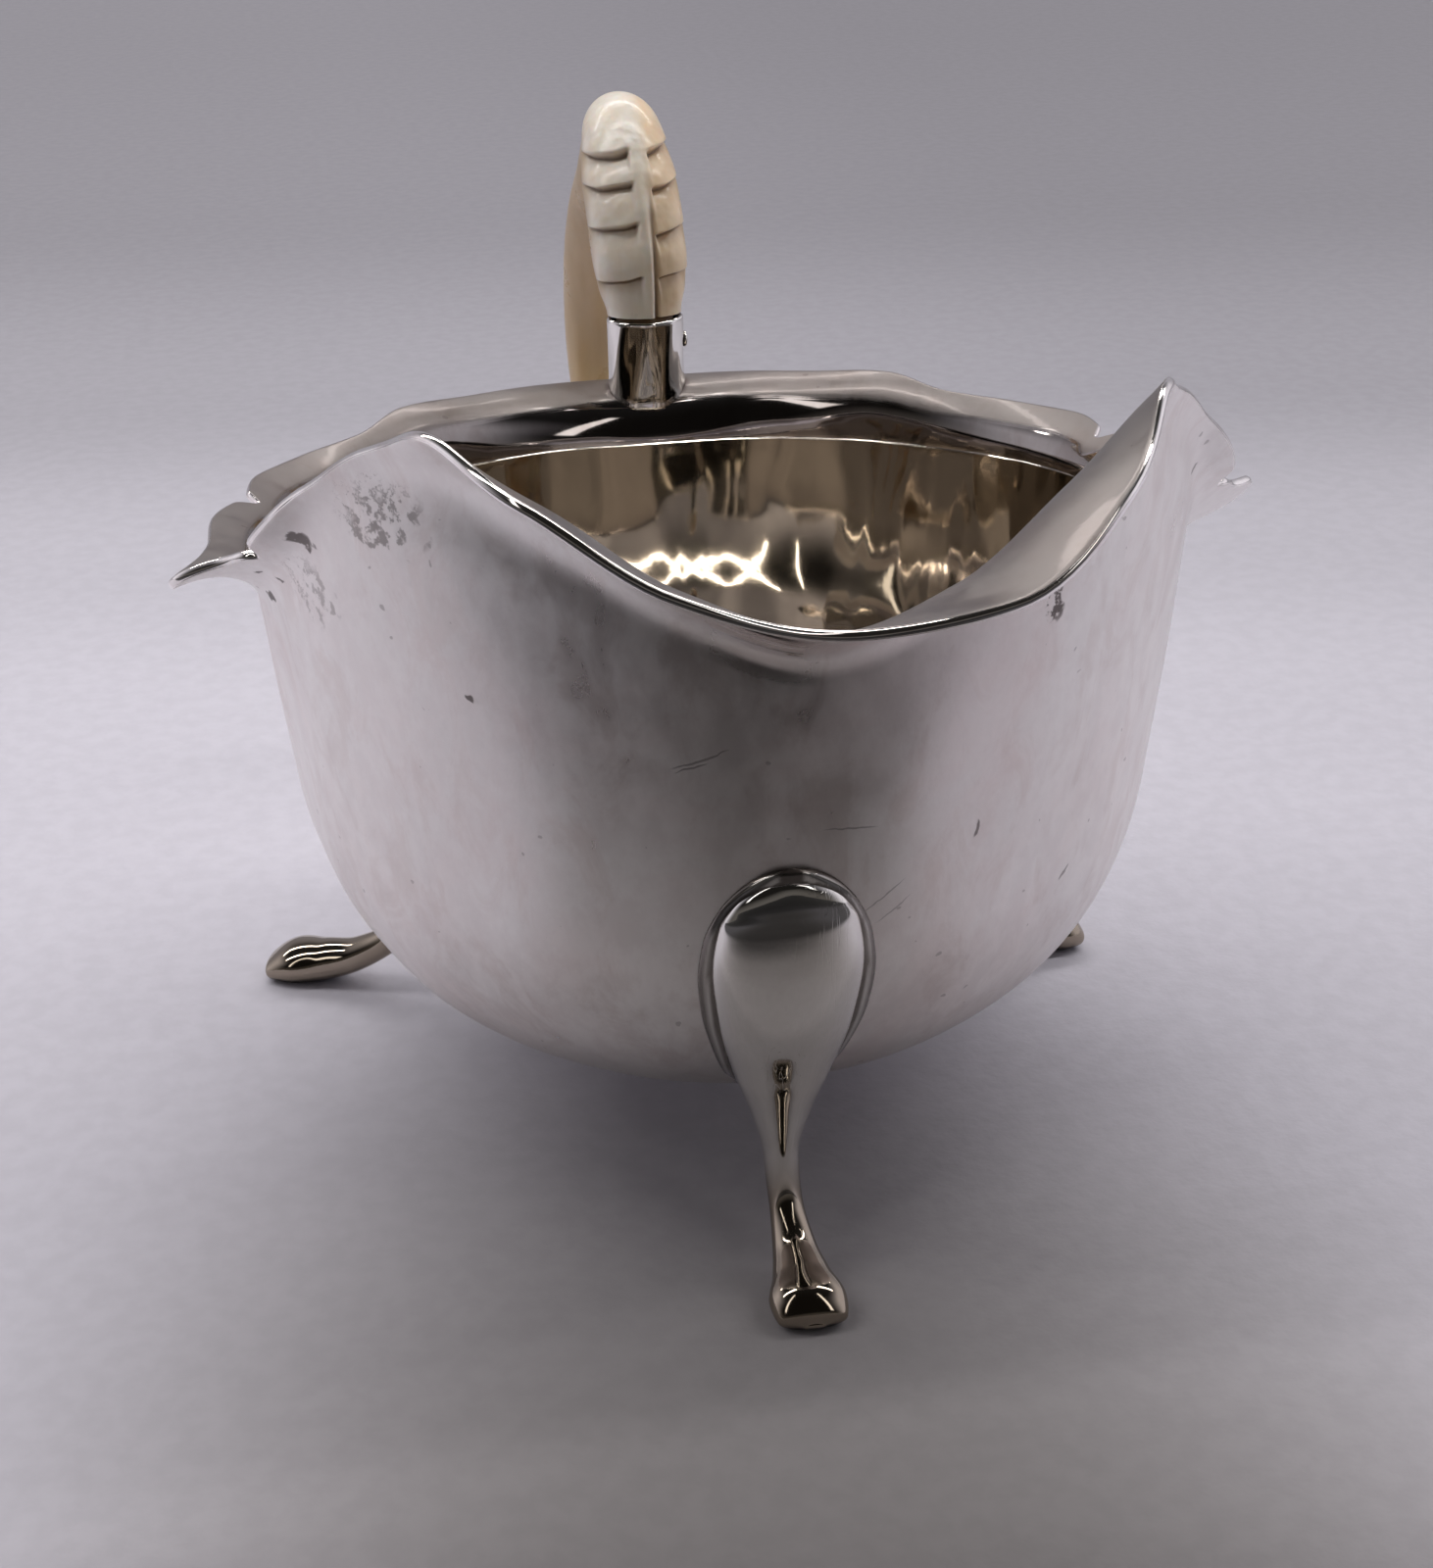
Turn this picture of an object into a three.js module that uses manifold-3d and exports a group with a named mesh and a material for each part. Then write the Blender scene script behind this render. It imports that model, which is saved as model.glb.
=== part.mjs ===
// Footed cream boat: a raised sheet-silver bowl with a cut and everted rim, three cast
// legs, and a carved loop handle pinned into two silver sockets.
// Millimetres, +Z up. The pouring lip points along -Y and the handle stands at +Y. The
// pieces are laid out around the bowl's upright axis, and the whole boat is then moved so
// that the origin is on the ground under the middle of its box.

import * as THREE from 'three';
import { mergeVertices } from 'three/addons/utils/BufferGeometryUtils.js';
import Module from 'manifold-3d';

const wasm = await Module();
wasm.setup();

// ---- driving dimensions --------------------------------------------------------

const solderGap = 0.3;            // room between a casting and the bowl it stands on

// bowl wall: a superellipse corner below a slightly tapering wall
const bottomHeight = 7.6;         // underside of the bowl above the ground
const cornerHeight = 26.2;        // height of the rounded corner
const wallHalfWidth = 39.3;       // half width of the wall at taperHeight
const wallTaper = 0.106;          // growth of the half width per mm of height
const taperHeight = 40;
const verticalPower = 2.17;       // superellipse powers of the corner
const radialPower = 2.82;
const cornerShare = 0.72;         // share of a meridian that the corner takes up
const lengthToWidth = 1.06;       // the plan is a slightly long ellipse
const sheetThickness = 0.8;

// Rim stations by angle from the lip: where the wall starts to turn outwards, how far
// the rim stands out, its height, and its slope above the level at the edge (degrees).
const rimStations = [
  { angle: 0, turn: 57.0, reach: 7.6, height: 64.0, slope: 30 },
  { angle: 14, turn: 60.5, reach: 9.3, height: 67.8, slope: 18 },
  { angle: 26, turn: 65.0, reach: 7.4, height: 73.4, slope: 20 },
  { angle: 37, turn: 67.0, reach: 3.0, height: 75.8, slope: 50 },
  { angle: 47, turn: 65.5, reach: 1.4, height: 73.8, slope: 65 },
  { angle: 56, turn: 62.0, reach: 2.0, height: 69.2, slope: 55 },
  { angle: 63, turn: 58.5, reach: 3.8, height: 64.0, slope: 30 },
  { angle: 70, turn: 55.5, reach: 4.6, height: 60.0, slope: 10 },
  { angle: 77, turn: 53.5, reach: 5.6, height: 57.0, slope: -5 },
  { angle: 85, turn: 52.3, reach: 5.2, height: 55.9, slope: 5 },
  { angle: 95, turn: 51.6, reach: 4.8, height: 55.8, slope: 15 },
  { angle: 106, turn: 51.0, reach: 4.2, height: 55.2, slope: 18 },
  { angle: 125, turn: 49.8, reach: 3.4, height: 54.4, slope: 20 },
  { angle: 144, turn: 48.8, reach: 3.2, height: 54.8, slope: 20 },
  { angle: 160, turn: 48.2, reach: 5.2, height: 53.5, slope: 4 },
  { angle: 180, turn: 47.8, reach: 7.2, height: 52.1, slope: -8 },
];

// The rim's outline is cut in arcs that meet in corners. Each arc lists the share of the
// full reach that is left, from one corner to the next, at angles from the lip.
const rimArcs = [
  [[0, 1.0], [15, 0.96], [28, 1.0], [37, 1.04]],                            // lip
  [[37, 1.04], [44, 0.95], [53, 0.92], [60, 0.98], [64.5, 0.94], [66.3, 0.72]], // lobe
  [[66.3, 0.72], [67.5, 0.85], [70, 0.97], [74, 1.26]],                     // bracket, front
  [[74, 1.26], [81, 1.02], [90, 0.84], [98, 0.9], [104.5, 0.84], [107.5, 0.6]], // bracket, rear
  [[107.5, 0.6], [109.5, 0.84], [115, 0.98], [124, 0.93], [135, 0.82], [144.5, 0.98]], // back lobe
  [[144.5, 0.98], [156, 0.92], [180, 1.0]],                                 // back
];
const rollLift = 0.65;            // share of the rise that the sheet climbs before it turns over
const rollLean = 0.04;            // how far it leans out on the way, as a share of the rise
const edgeLead = 0.45;            // straightness of the flare at the edge, as a share of the chord
// Hand bending on the right side only, fading over a spread of angle: the lip droops, and
// the bracket turns out sharply at the wall and slopes up to its edge.
const lipDroop = { angle: 19, spread: 12, reach: 1.1, height: -2.7 };
const bracketBend = { angle: 76, spread: 9, reach: -0.9, height: -0.6, slope: 42, lift: -0.45 };

// upper socket: the back rim and the space below it are cut away from the sleeve
const backFrom = 160;             // from this angle round the back to the same on the other side
const backStep = 4;
const blockFloor = 30;
const blockInset = 5;             // the block starts this far inside the wall
const blockOverhang = 3;          // and ends this far behind the cut edge

// legs: the spine in the leg's own radial plane, as distance from the axis and height,
// with the half width across the leg and the half thickness along the plane
const legSpine = [
  { out: 41.8, up: 40.9, wide: 0.4, thick: 0.4 },
  { out: 41.6, up: 39.6, wide: 3.2, thick: 1.0 },
  { out: 41.2, up: 36.5, wide: 5.5, thick: 1.7 },
  { out: 40.4, up: 31.6, wide: 6.5, thick: 2.1 },
  { out: 38.9, up: 26.0, wide: 5.9, thick: 2.4 },
  { out: 36.9, up: 20.6, wide: 4.5, thick: 2.5 },
  { out: 35.6, up: 15.4, wide: 2.7, thick: 2.1 },
  { out: 35.2, up: 10.8, wide: 1.6, thick: 1.7 },
  { out: 36.2, up: 6.6, wide: 1.45, thick: 1.4 },
  { out: 38.7, up: 3.7, wide: 1.9, thick: 1.7 },
  { out: 41.4, up: 2.4, wide: 2.6, thick: 2.1 },
  { out: 43.9, up: 1.8, wide: 3.25, thick: 2.2 },
  { out: 45.7, up: 1.2, wide: 2.8, thick: 1.5 },
  { out: 46.4, up: 0.9, wide: 0.8, thick: 0.4 },
];
// Each leg's angle from the lip, and how far its plate is set in, its foot is bent out
// and its toe is bent aside. A high bend power keeps the bend near the foot.
const splayStart = 20;            // the bends are below this height
const toeBendPower = 4;
const legPlaces = {
  front_leg: { angle: -2.75, inset: 0, splay: 0, bendPower: 1, toeShift: 1.3 },
  left_rear_leg: { angle: -118.4, inset: -2.4, splay: 4.4, bendPower: 4, toeShift: 0 },
  right_rear_leg: { angle: 107.3, inset: -2.2, splay: -4.9, bendPower: 0.8, toeShift: 0 },
};

// sockets: oval sleeves with a blind bore; the upper one stands up, the lower one leans back
const handleOffset = 1.25;        // the handle stands a little right of the middle
const socketHalfWidth = 4.0;
const socketHalfDepth = 3.3;
const boreHalfWidth = 3.3;
const boreHalfDepth = 2.6;
const boreDepth = 6.0;
const upperMouth = { y: 46.6, z: 60.5 };
const lowerMouth = { y: 50.6, z: 28.4 };
const lowerSocketTilt = 20;       // degrees above the level
const upperSocketLength = 15;     // long enough to be trimmed to the rim
const lowerSocketLength = 15;     // long enough to be trimmed to the wall

// handle: the grip's centre line from shoulder to shoulder, with its lean out of the
// sockets' plane, the half width across and the half thickness along the plane
const shoulderGap = 0.3;
const tenonHalfWidth = 3.0;
const tenonHalfDepth = 2.3;
const tenonLength = 5.4;
const tenonRoot = 2;              // how far a tenon reaches up into the grip
const shoulderLength = 1.2;       // height of the straight shoulder above a socket
const gripLine = [
  { lean: -0.1, y: 46.8, z: 63.6, wide: 4.6, thick: 3.6 },
  { lean: -0.3, y: 47.2, z: 67.6, wide: 5.0, thick: 3.9 },
  { lean: -0.55, y: 49.6, z: 73.2, wide: 5.0, thick: 4.0 },
  { lean: -0.6, y: 54.8, z: 77.6, wide: 4.2, thick: 4.0 },
  { lean: -0.35, y: 60.8, z: 76.2, wide: 3.5, thick: 3.8 },
  { lean: -0.4, y: 66.4, z: 71.4, wide: 3.6, thick: 3.6 },
  { lean: -0.6, y: 72.4, z: 65.6, wide: 3.9, thick: 3.5 },
  { lean: -0.7, y: 77.4, z: 58.2, wide: 4.0, thick: 3.5 },
  { lean: -0.6, y: 79.6, z: 49.6, wide: 4.0, thick: 3.5 },
  { lean: -0.4, y: 76.8, z: 41.2, wide: 3.9, thick: 3.5 },
  { lean: -0.2, y: 69.6, z: 35.2, wide: 3.9, thick: 3.5 },
  { lean: 0, y: 60.4, z: 32.0, wide: 3.9, thick: 3.4 },
];
const shoulder = { lean: 0, wide: 3.9, thick: 3.3 };

// pins
const pinRadius = 0.5;
const pinHeadRadius = 0.8;
const pinHeadHeight = 0.45;
const pinHoleRadius = 0.7;
const pinHeadGap = 0.1;           // room between a socket's side and the pin's head
const pinHeadRoot = 0.1;          // how far the shank reaches up into the head
const pinDrop = 2.8;              // from a socket's mouth to its pin

// fineness of the swept and turned bodies
const legSteps = 36;
const legSides = 18;
const gripSteps = 60;
const gripSides = 20;
const sleeveSides = 36;
const pinSides = 14;
const cornerCrowding = 0.1;       // how much the meridians crowd towards the rim's corners

// tools that are cut away reach past the body by this much
const cutterMargin = 2;
const groundSize = 200;

// ---- curves and closed grids -----------------------------------------------------

const degrees = THREE.MathUtils.degToRad;

// A smooth curve through points that never swings beyond its neighbours.
function smoothCurve(xs, ys) {
  const slopes = xs.map((x, i) => {
    if (i === 0 || i === xs.length - 1) return 0;
    const before = (ys[i] - ys[i - 1]) / (x - xs[i - 1]);
    const after = (ys[i + 1] - ys[i]) / (xs[i + 1] - x);
    return before * after > 0 ? (2 * before * after) / (before + after) : 0;
  });
  return (x) => {
    let i = 0;
    while (i < xs.length - 2 && x > xs[i + 1]) i += 1;
    const span = xs[i + 1] - xs[i];
    const t = THREE.MathUtils.clamp((x - xs[i]) / span, 0, 1);
    const h1 = t * t * (3 - 2 * t);
    const h2 = t * (1 - t) * (1 - t) * span;
    const h3 = t * t * (t - 1) * span;
    return ys[i] * (1 - h1) + ys[i + 1] * h1 + slopes[i] * h2 + slopes[i + 1] * h3;
  };
}

// A closed body from rings of points, each ring given as an array of the same length,
// with the first and last ring closed by a fan.
function bodyFromRings(rings) {
  const count = rings[0].length;
  const points = rings.flat();
  const triangles = [];
  for (let r = 0; r < rings.length - 1; r += 1) {
    for (let i = 0; i < count; i += 1) {
      const a = r * count + i;
      const b = r * count + ((i + 1) % count);
      triangles.push(a, b, b + count, a, b + count, a + count);
    }
  }
  const centre = (ring) => ring.reduce((sum, p) => sum.add(p), new THREE.Vector3())
    .multiplyScalar(1 / count);
  const firstCentre = points.push(centre(rings[0])) - 1;
  const lastCentre = points.push(centre(rings[rings.length - 1])) - 1;
  const lastStart = (rings.length - 1) * count;
  for (let i = 0; i < count; i += 1) {
    const next = (i + 1) % count;
    triangles.push(firstCentre, next, i);
    triangles.push(lastCentre, lastStart + i, lastStart + next);
  }
  const geometry = new THREE.BufferGeometry().setFromPoints(points);
  geometry.setIndex(triangles);
  return geometry;
}

// ---- solids ----------------------------------------------------------------------

function solidOf(geometry) {
  const plain = geometry.clone();
  plain.deleteAttribute('normal');
  plain.deleteAttribute('uv');
  const merged = mergeVertices(plain, 1e-4);
  return new wasm.Manifold(new wasm.Mesh({
    numProp: 3,
    vertProperties: new Float32Array(merged.attributes.position.array),
    triVerts: new Uint32Array(merged.index.array),
  }));
}

function geometryOf(solid) {
  const mesh = solid.getMesh();
  const geometry = new THREE.BufferGeometry();
  geometry.setAttribute('position', new THREE.BufferAttribute(new Float32Array(mesh.vertProperties), 3));
  geometry.setIndex(new THREE.BufferAttribute(new Uint32Array(mesh.triVerts), 1));
  return geometry;
}

// A straight oval bar between two points of a plane x = constant, or a round bar.
function bar(from, to, halfWidth, halfDepth, sides) {
  const along = to.clone().sub(from);
  const geometry = new THREE.CylinderGeometry(1, 1, along.length(), sides);
  geometry.scale(halfWidth, 1, halfDepth);
  const cylinderAxis = new THREE.Vector3(0, 1, 0);
  const turn = new THREE.Quaternion().setFromUnitVectors(cylinderAxis, along.clone().normalize());
  geometry.applyQuaternion(turn);
  geometry.translate(...from.clone().add(to).multiplyScalar(0.5));
  return solidOf(geometry);
}

// ---- the bowl's surface ------------------------------------------------------------

const wallTop = bottomHeight + cornerHeight;
const halfWidthAt = (height) => wallHalfWidth + wallTaper * (height - taperHeight);

const stationAngles = rimStations.map((station) => station.angle);
const rimCurve = (key) => smoothCurve(stationAngles, rimStations.map((station) => station[key]));
const rimTurn = rimCurve('turn');
const rimReach = rimCurve('reach');
const rimHeight = rimCurve('height');
const rimSlope = rimCurve('slope');
const arcCurves = rimArcs.map((arc) => smoothCurve(arc.map((p) => p[0]), arc.map((p) => p[1])));

function rimShare(angle) {
  const index = rimArcs.findIndex((arc) => angle <= arc[arc.length - 1][0]);
  return arcCurves[index < 0 ? rimArcs.length - 1 : index](angle);
}

// A point of the plan ellipse for a half width, moved outwards by some distance.
function planPoint(angle, halfWidth, outwards, height) {
  const sine = Math.sin(degrees(angle));
  const cosine = Math.cos(degrees(angle));
  const normal = new THREE.Vector2(lengthToWidth * sine, -cosine).normalize();
  return new THREE.Vector3(
    halfWidth * sine + outwards * normal.x,
    -lengthToWidth * halfWidth * cosine + outwards * normal.y,
    height,
  );
}

// The corner and the wall, from the bottom centre (share 0) to the turn (share 1).
function wallPoint(angle, share) {
  if (share <= cornerShare) {
    const phase = (share / cornerShare) * (Math.PI / 2);
    const height = bottomHeight + cornerHeight * (1 - Math.cos(phase) ** (2 / verticalPower));
    const halfWidth = halfWidthAt(height) * Math.sin(phase) ** (2 / radialPower);
    return planPoint(angle, halfWidth, 0, height);
  }
  const rest = (share - cornerShare) / (1 - cornerShare);
  const height = THREE.MathUtils.lerp(wallTop, rimTurn(Math.abs(angle)), rest);
  return planPoint(angle, halfWidthAt(height), 0, height);
}

// How much of a local hand bend is felt at an angle.
const bendShare = (angle, bend) => Math.exp(-(((angle - bend.angle) / bend.spread) ** 2));

// The everted rim, from the turn (share 0) to the cut edge (share 1).
function rimPoint(angle, share) {
  const side = Math.abs(angle);
  const turn = rimTurn(side);
  const droop = bendShare(angle, lipDroop);
  const bent = bendShare(angle, bracketBend);
  const reach = rimReach(side) + bent * bracketBend.reach;
  const rise = rimHeight(side) - turn + bent * bracketBend.height;
  const slope = degrees(rimSlope(side) + bent * bracketBend.slope);
  const lead = Math.hypot(reach, rise) * edgeLead;
  const profile = [
    [0, 0],
    [rollLean * rise, (rollLift + bent * bracketBend.lift) * rise],
    [reach - lead * Math.cos(slope), rise - lead * Math.sin(slope)],
    [reach, rise],
  ];
  const t = share * rimShare(side);
  const weights = [(1 - t) ** 3, 3 * t * (1 - t) ** 2, 3 * t * t * (1 - t), t ** 3];
  const blend = (axis) => weights.reduce((sum, weight, i) => sum + weight * profile[i][axis], 0);
  const outwards = blend(0) + droop * lipDroop.reach * share;
  const height = turn + blend(1) + droop * lipDroop.height * share * share;
  return planPoint(angle, halfWidthAt(turn), outwards, height);
}

// One meridian of the sheet: share 0 is the bottom centre, 1 the turn, 2 the cut edge.
const sheetPoint = (angle, share) => (share <= 1 ? wallPoint(angle, share) : rimPoint(angle, share - 1));

// The outward normal of the sheet.
function sheetNormal(angle, share) {
  const step = 1e-3;
  const along = sheetPoint(angle, Math.min(share + step, 2)).sub(sheetPoint(angle, share - step));
  const across = sheetPoint(angle + step, share).sub(sheetPoint(angle - step, share));
  return across.cross(along).normalize();
}

const offsetPoint = (angle, share, distance) => sheetPoint(angle, share)
  .addScaledVector(sheetNormal(angle, share), distance);

// Meridian angles that crowd towards the corners of the cut outline.
function meridianAngles(stepsPerArc) {
  const half = [];
  rimArcs.forEach((arc, index) => {
    const from = arc[0][0];
    const to = arc[arc.length - 1][0];
    for (let i = 0; i < stepsPerArc[index]; i += 1) {
      const t = i / stepsPerArc[index];
      half.push(from + (to - from) * (t - cornerCrowding * Math.sin(2 * Math.PI * t)));
    }
  });
  const mirrored = half.slice(1).map((angle) => -angle).reverse();
  return [...half, 180, ...mirrored];
}

const wallShares = [0.04, 0.12, 0.2, 0.28, 0.36, 0.45, 0.56, cornerShare, 0.87, 1];
const rimShares = [1.2, 1.4, 1.6, 1.8, 2];

function bowl() {
  const angles = meridianAngles([8, 8, 5, 9, 9, 6]);
  const shares = [...wallShares, ...rimShares];
  const outside = shares.map((share) => angles.map((angle) => sheetPoint(angle, share)));
  const inside = shares.map((share) => angles.map((angle) => offsetPoint(angle, share, -sheetThickness)));
  return bodyFromRings([...outside, ...inside.reverse()]);
}

// The space that castings on the wall must stay out of: the bowl as a filled block.
function bowlBlock() {
  const angles = meridianAngles([6, 6, 3, 6, 6, 6]);
  const rings = wallShares.map((share) => angles.map((angle) => offsetPoint(angle, share, solderGap)));
  return solidOf(bodyFromRings(rings));
}

// The space that the upper socket must stay out of: the back rim and all below it.
function rimBlock() {
  const angles = [];
  for (let angle = backFrom; angle <= 360 - backFrom; angle += backStep) {
    angles.push(angle > 180 ? angle - 360 : angle);
  }
  const shares = [1.001, 1.15, 1.3, 1.45, 1.6, 1.8, 2];
  const lift = -sheetThickness - solderGap;
  const top = shares.map((share) => angles.map((angle) => offsetPoint(angle, share, lift)));
  const inner = angles.map((angle) => {
    const turn = rimTurn(Math.abs(angle));
    return planPoint(angle, halfWidthAt(turn), -blockInset, turn);
  });
  const outer = top[top.length - 1].map((p) => p.clone().setY(p.y + blockOverhang));
  const rows = [inner, ...top, outer];
  const columns = angles.map((_, i) => {
    const upper = rows.map((row) => row[i]);
    const lower = upper.map((p) => new THREE.Vector3(p.x, p.y, blockFloor)).reverse();
    return [...upper, ...lower];
  });
  return solidOf(bodyFromRings(columns));
}

// ---- castings ------------------------------------------------------------------------

// A body swept along stations in the plane x = 0, with an oval section at each station.
function sweptOval(stations, plane, steps, sides) {
  const line = new THREE.CatmullRomCurve3(stations.map(plane), false, 'centripetal');
  const shares = stations.map((_, i) => i / (stations.length - 1));
  const wide = smoothCurve(shares, stations.map((station) => station.wide));
  const thick = smoothCurve(shares, stations.map((station) => station.thick));
  const across = new THREE.Vector3(1, 0, 0);
  const rings = [];
  for (let s = 0; s <= steps; s += 1) {
    const share = s / steps;
    const centre = line.getPoint(share);
    const outwards = line.getTangent(share).cross(across).normalize();
    const ring = [];
    for (let i = 0; i < sides; i += 1) {
      const phase = (2 * Math.PI * i) / sides;
      ring.push(centre.clone()
        .addScaledVector(across, wide(share) * Math.cos(phase))
        .addScaledVector(outwards, thick(share) * Math.sin(phase)));
    }
    rings.push(ring);
  }
  return bodyFromRings(rings);
}

function leg({ angle, inset, splay, bendPower, toeShift }, blocked) {
  const stations = legSpine.map((station) => {
    const lowness = THREE.MathUtils.clamp((splayStart - station.up) / splayStart, 0, 1);
    const out = station.out + inset + (splay - inset) * lowness ** bendPower;
    return { ...station, out, aside: toeShift * lowness ** toeBendPower };
  });
  const spinePoint = (s) => new THREE.Vector3(s.aside, -s.out, s.up);
  const swept = sweptOval(stations, spinePoint, legSteps, legSides);
  swept.rotateZ(degrees(angle));
  const ground = new THREE.BoxGeometry(groundSize, groundSize, groundSize);
  ground.translate(0, 0, -groundSize / 2);
  return geometryOf(solidOf(swept).subtract(blocked).subtract(solidOf(ground)));
}

// A socket's frame: the middle of its mouth and the direction down its bore.
const tilt = degrees(lowerSocketTilt);
const upperSeat = {
  mouth: new THREE.Vector3(handleOffset, upperMouth.y, upperMouth.z),
  down: new THREE.Vector3(0, 0, -1),
};
const lowerSeat = {
  mouth: new THREE.Vector3(handleOffset, lowerMouth.y, lowerMouth.z),
  down: new THREE.Vector3(0, -Math.cos(tilt), -Math.sin(tilt)),
};

const atDepth = (seat, depth) => seat.mouth.clone().addScaledVector(seat.down, depth);

// An oval bar along a seat's bore.
const seatBar = (seat, from, to, halfWidth, halfDepth) => (
  bar(atDepth(seat, from), atDepth(seat, to), halfWidth, halfDepth, sleeveSides)
);

// A round bar across a seat at its pin, between two distances from the seat's axis.
function crossBar(seat, radius, from, to) {
  const centre = atDepth(seat, pinDrop);
  const start = centre.clone().setX(handleOffset + from);
  const end = centre.clone().setX(handleOffset + to);
  return bar(start, end, radius, radius, pinSides);
}

function pinHole(seat) {
  const reach = socketHalfWidth + cutterMargin;
  return crossBar(seat, pinHoleRadius, -reach, reach);
}

function socket(seat, length, blocked) {
  const sleeve = seatBar(seat, 0, length, socketHalfWidth, socketHalfDepth);
  const bore = seatBar(seat, -cutterMargin, boreDepth, boreHalfWidth, boreHalfDepth);
  return geometryOf(sleeve.subtract(blocked).subtract(bore).subtract(pinHole(seat)));
}

function tenon(seat) {
  return seatBar(seat, -shoulderGap - tenonRoot, tenonLength, tenonHalfWidth, tenonHalfDepth);
}

// A grip station on a seat's axis, above its mouth.
function shoulderStation(seat, height) {
  const point = atDepth(seat, -height);
  return { y: point.y, z: point.z, ...shoulder };
}

function handle() {
  const stations = [
    shoulderStation(upperSeat, shoulderGap),
    shoulderStation(upperSeat, shoulderGap + shoulderLength),
    ...gripLine,
    shoulderStation(lowerSeat, shoulderGap + shoulderLength),
    shoulderStation(lowerSeat, shoulderGap),
  ];
  const gripPoint = (s) => new THREE.Vector3(handleOffset + s.lean, s.y, s.z);
  const grip = sweptOval(stations, gripPoint, gripSteps, gripSides);
  const body = solidOf(grip).add(tenon(upperSeat)).add(tenon(lowerSeat));
  return geometryOf(body.subtract(pinHole(upperSeat)).subtract(pinHole(lowerSeat)));
}

// A headed pin; the head stands on the right-hand side of the socket.
function pin(seat) {
  const headStart = socketHalfWidth + pinHeadGap;
  const shank = crossBar(seat, pinRadius, -socketHalfWidth, headStart + pinHeadRoot);
  const head = crossBar(seat, pinHeadRadius, headStart, headStart + pinHeadHeight);
  return geometryOf(shank.add(head));
}

// ---- materials and assembly ------------------------------------------------------------

const finishes = {
  satinSilver: { color: 0xc9c6c8, roughness: 0.32, metalness: 1 },
  brightSilver: { color: 0xcfccca, roughness: 0.12, metalness: 1 },
  ivory: { color: 0xe9dcc0, roughness: 0.38, metalness: 0 },
};

function named(name, geometry, finish) {
  const mesh = new THREE.Mesh(geometry, new THREE.MeshStandardMaterial(finishes[finish]));
  mesh.name = name;
  return mesh;
}

function creamBoat() {
  const group = new THREE.Group();
  const wallSpace = bowlBlock();
  group.add(named('bowl', bowl(), 'satinSilver'));
  for (const [name, place] of Object.entries(legPlaces)) {
    group.add(named(name, leg(place, wallSpace), 'brightSilver'));
  }
  const upper = socket(upperSeat, upperSocketLength, rimBlock());
  const lower = socket(lowerSeat, lowerSocketLength, wallSpace);
  group.add(named('upper_handle_socket', upper, 'brightSilver'));
  group.add(named('lower_handle_socket', lower, 'brightSilver'));
  group.add(named('handle', handle(), 'ivory'));
  group.add(named('upper_handle_pin', pin(upperSeat), 'brightSilver'));
  group.add(named('lower_handle_pin', pin(lowerSeat), 'brightSilver'));
  const middle = new THREE.Box3().setFromObject(group).getCenter(new THREE.Vector3());
  group.position.set(-middle.x, -middle.y, 0);
  return group;
}

export default creamBoat();
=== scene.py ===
"""Looks of the footed cream boat: smooth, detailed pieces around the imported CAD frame.

Shapes are worked out in millimetres around the bowl's upright axis, with angles counted
from the pouring lip, and placed in the CAD frame in metres.
"""

import math

import bpy
import numpy as np
from mathutils import Matrix, Vector
from mathutils.bvhtree import BVHTree


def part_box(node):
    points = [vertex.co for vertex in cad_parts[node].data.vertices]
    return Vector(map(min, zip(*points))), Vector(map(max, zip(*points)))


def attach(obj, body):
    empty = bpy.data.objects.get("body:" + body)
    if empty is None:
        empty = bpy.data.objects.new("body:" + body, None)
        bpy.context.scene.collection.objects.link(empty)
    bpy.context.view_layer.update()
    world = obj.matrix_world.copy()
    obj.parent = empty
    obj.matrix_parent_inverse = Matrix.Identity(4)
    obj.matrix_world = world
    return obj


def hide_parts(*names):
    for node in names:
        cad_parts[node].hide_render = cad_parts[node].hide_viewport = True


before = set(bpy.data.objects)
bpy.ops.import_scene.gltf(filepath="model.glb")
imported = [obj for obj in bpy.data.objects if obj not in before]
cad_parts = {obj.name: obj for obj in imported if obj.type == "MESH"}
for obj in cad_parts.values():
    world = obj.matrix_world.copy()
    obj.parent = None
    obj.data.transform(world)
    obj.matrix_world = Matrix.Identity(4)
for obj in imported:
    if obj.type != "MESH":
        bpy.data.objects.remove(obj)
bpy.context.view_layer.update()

MM = 0.001

# ---- bowl, in millimetres ----

BOTTOM_HEIGHT = 7.6     # underside above the floor
CORNER_HEIGHT = 26.2    # the rounded corner's own height, above the underside
WALL_HALF_WIDTH = 39.3  # at TAPER_HEIGHT; the wall opens by WALL_TAPER per millimetre
WALL_TAPER = 0.106
TAPER_HEIGHT = 40.0
VERTICAL_POWER = 2.17   # powers of the corner's superellipse, upwards and outwards
RADIAL_POWER = 2.82
LENGTH_TO_WIDTH = 1.06
SHEET = 0.8             # thickness of the silver
# places up the sheet: 0 at the bottom, CORNER_SHARE where the wall starts, the turn, the cut edge
CORNER_SHARE, TURN, EDGE = 0.72, 1, 2

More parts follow.
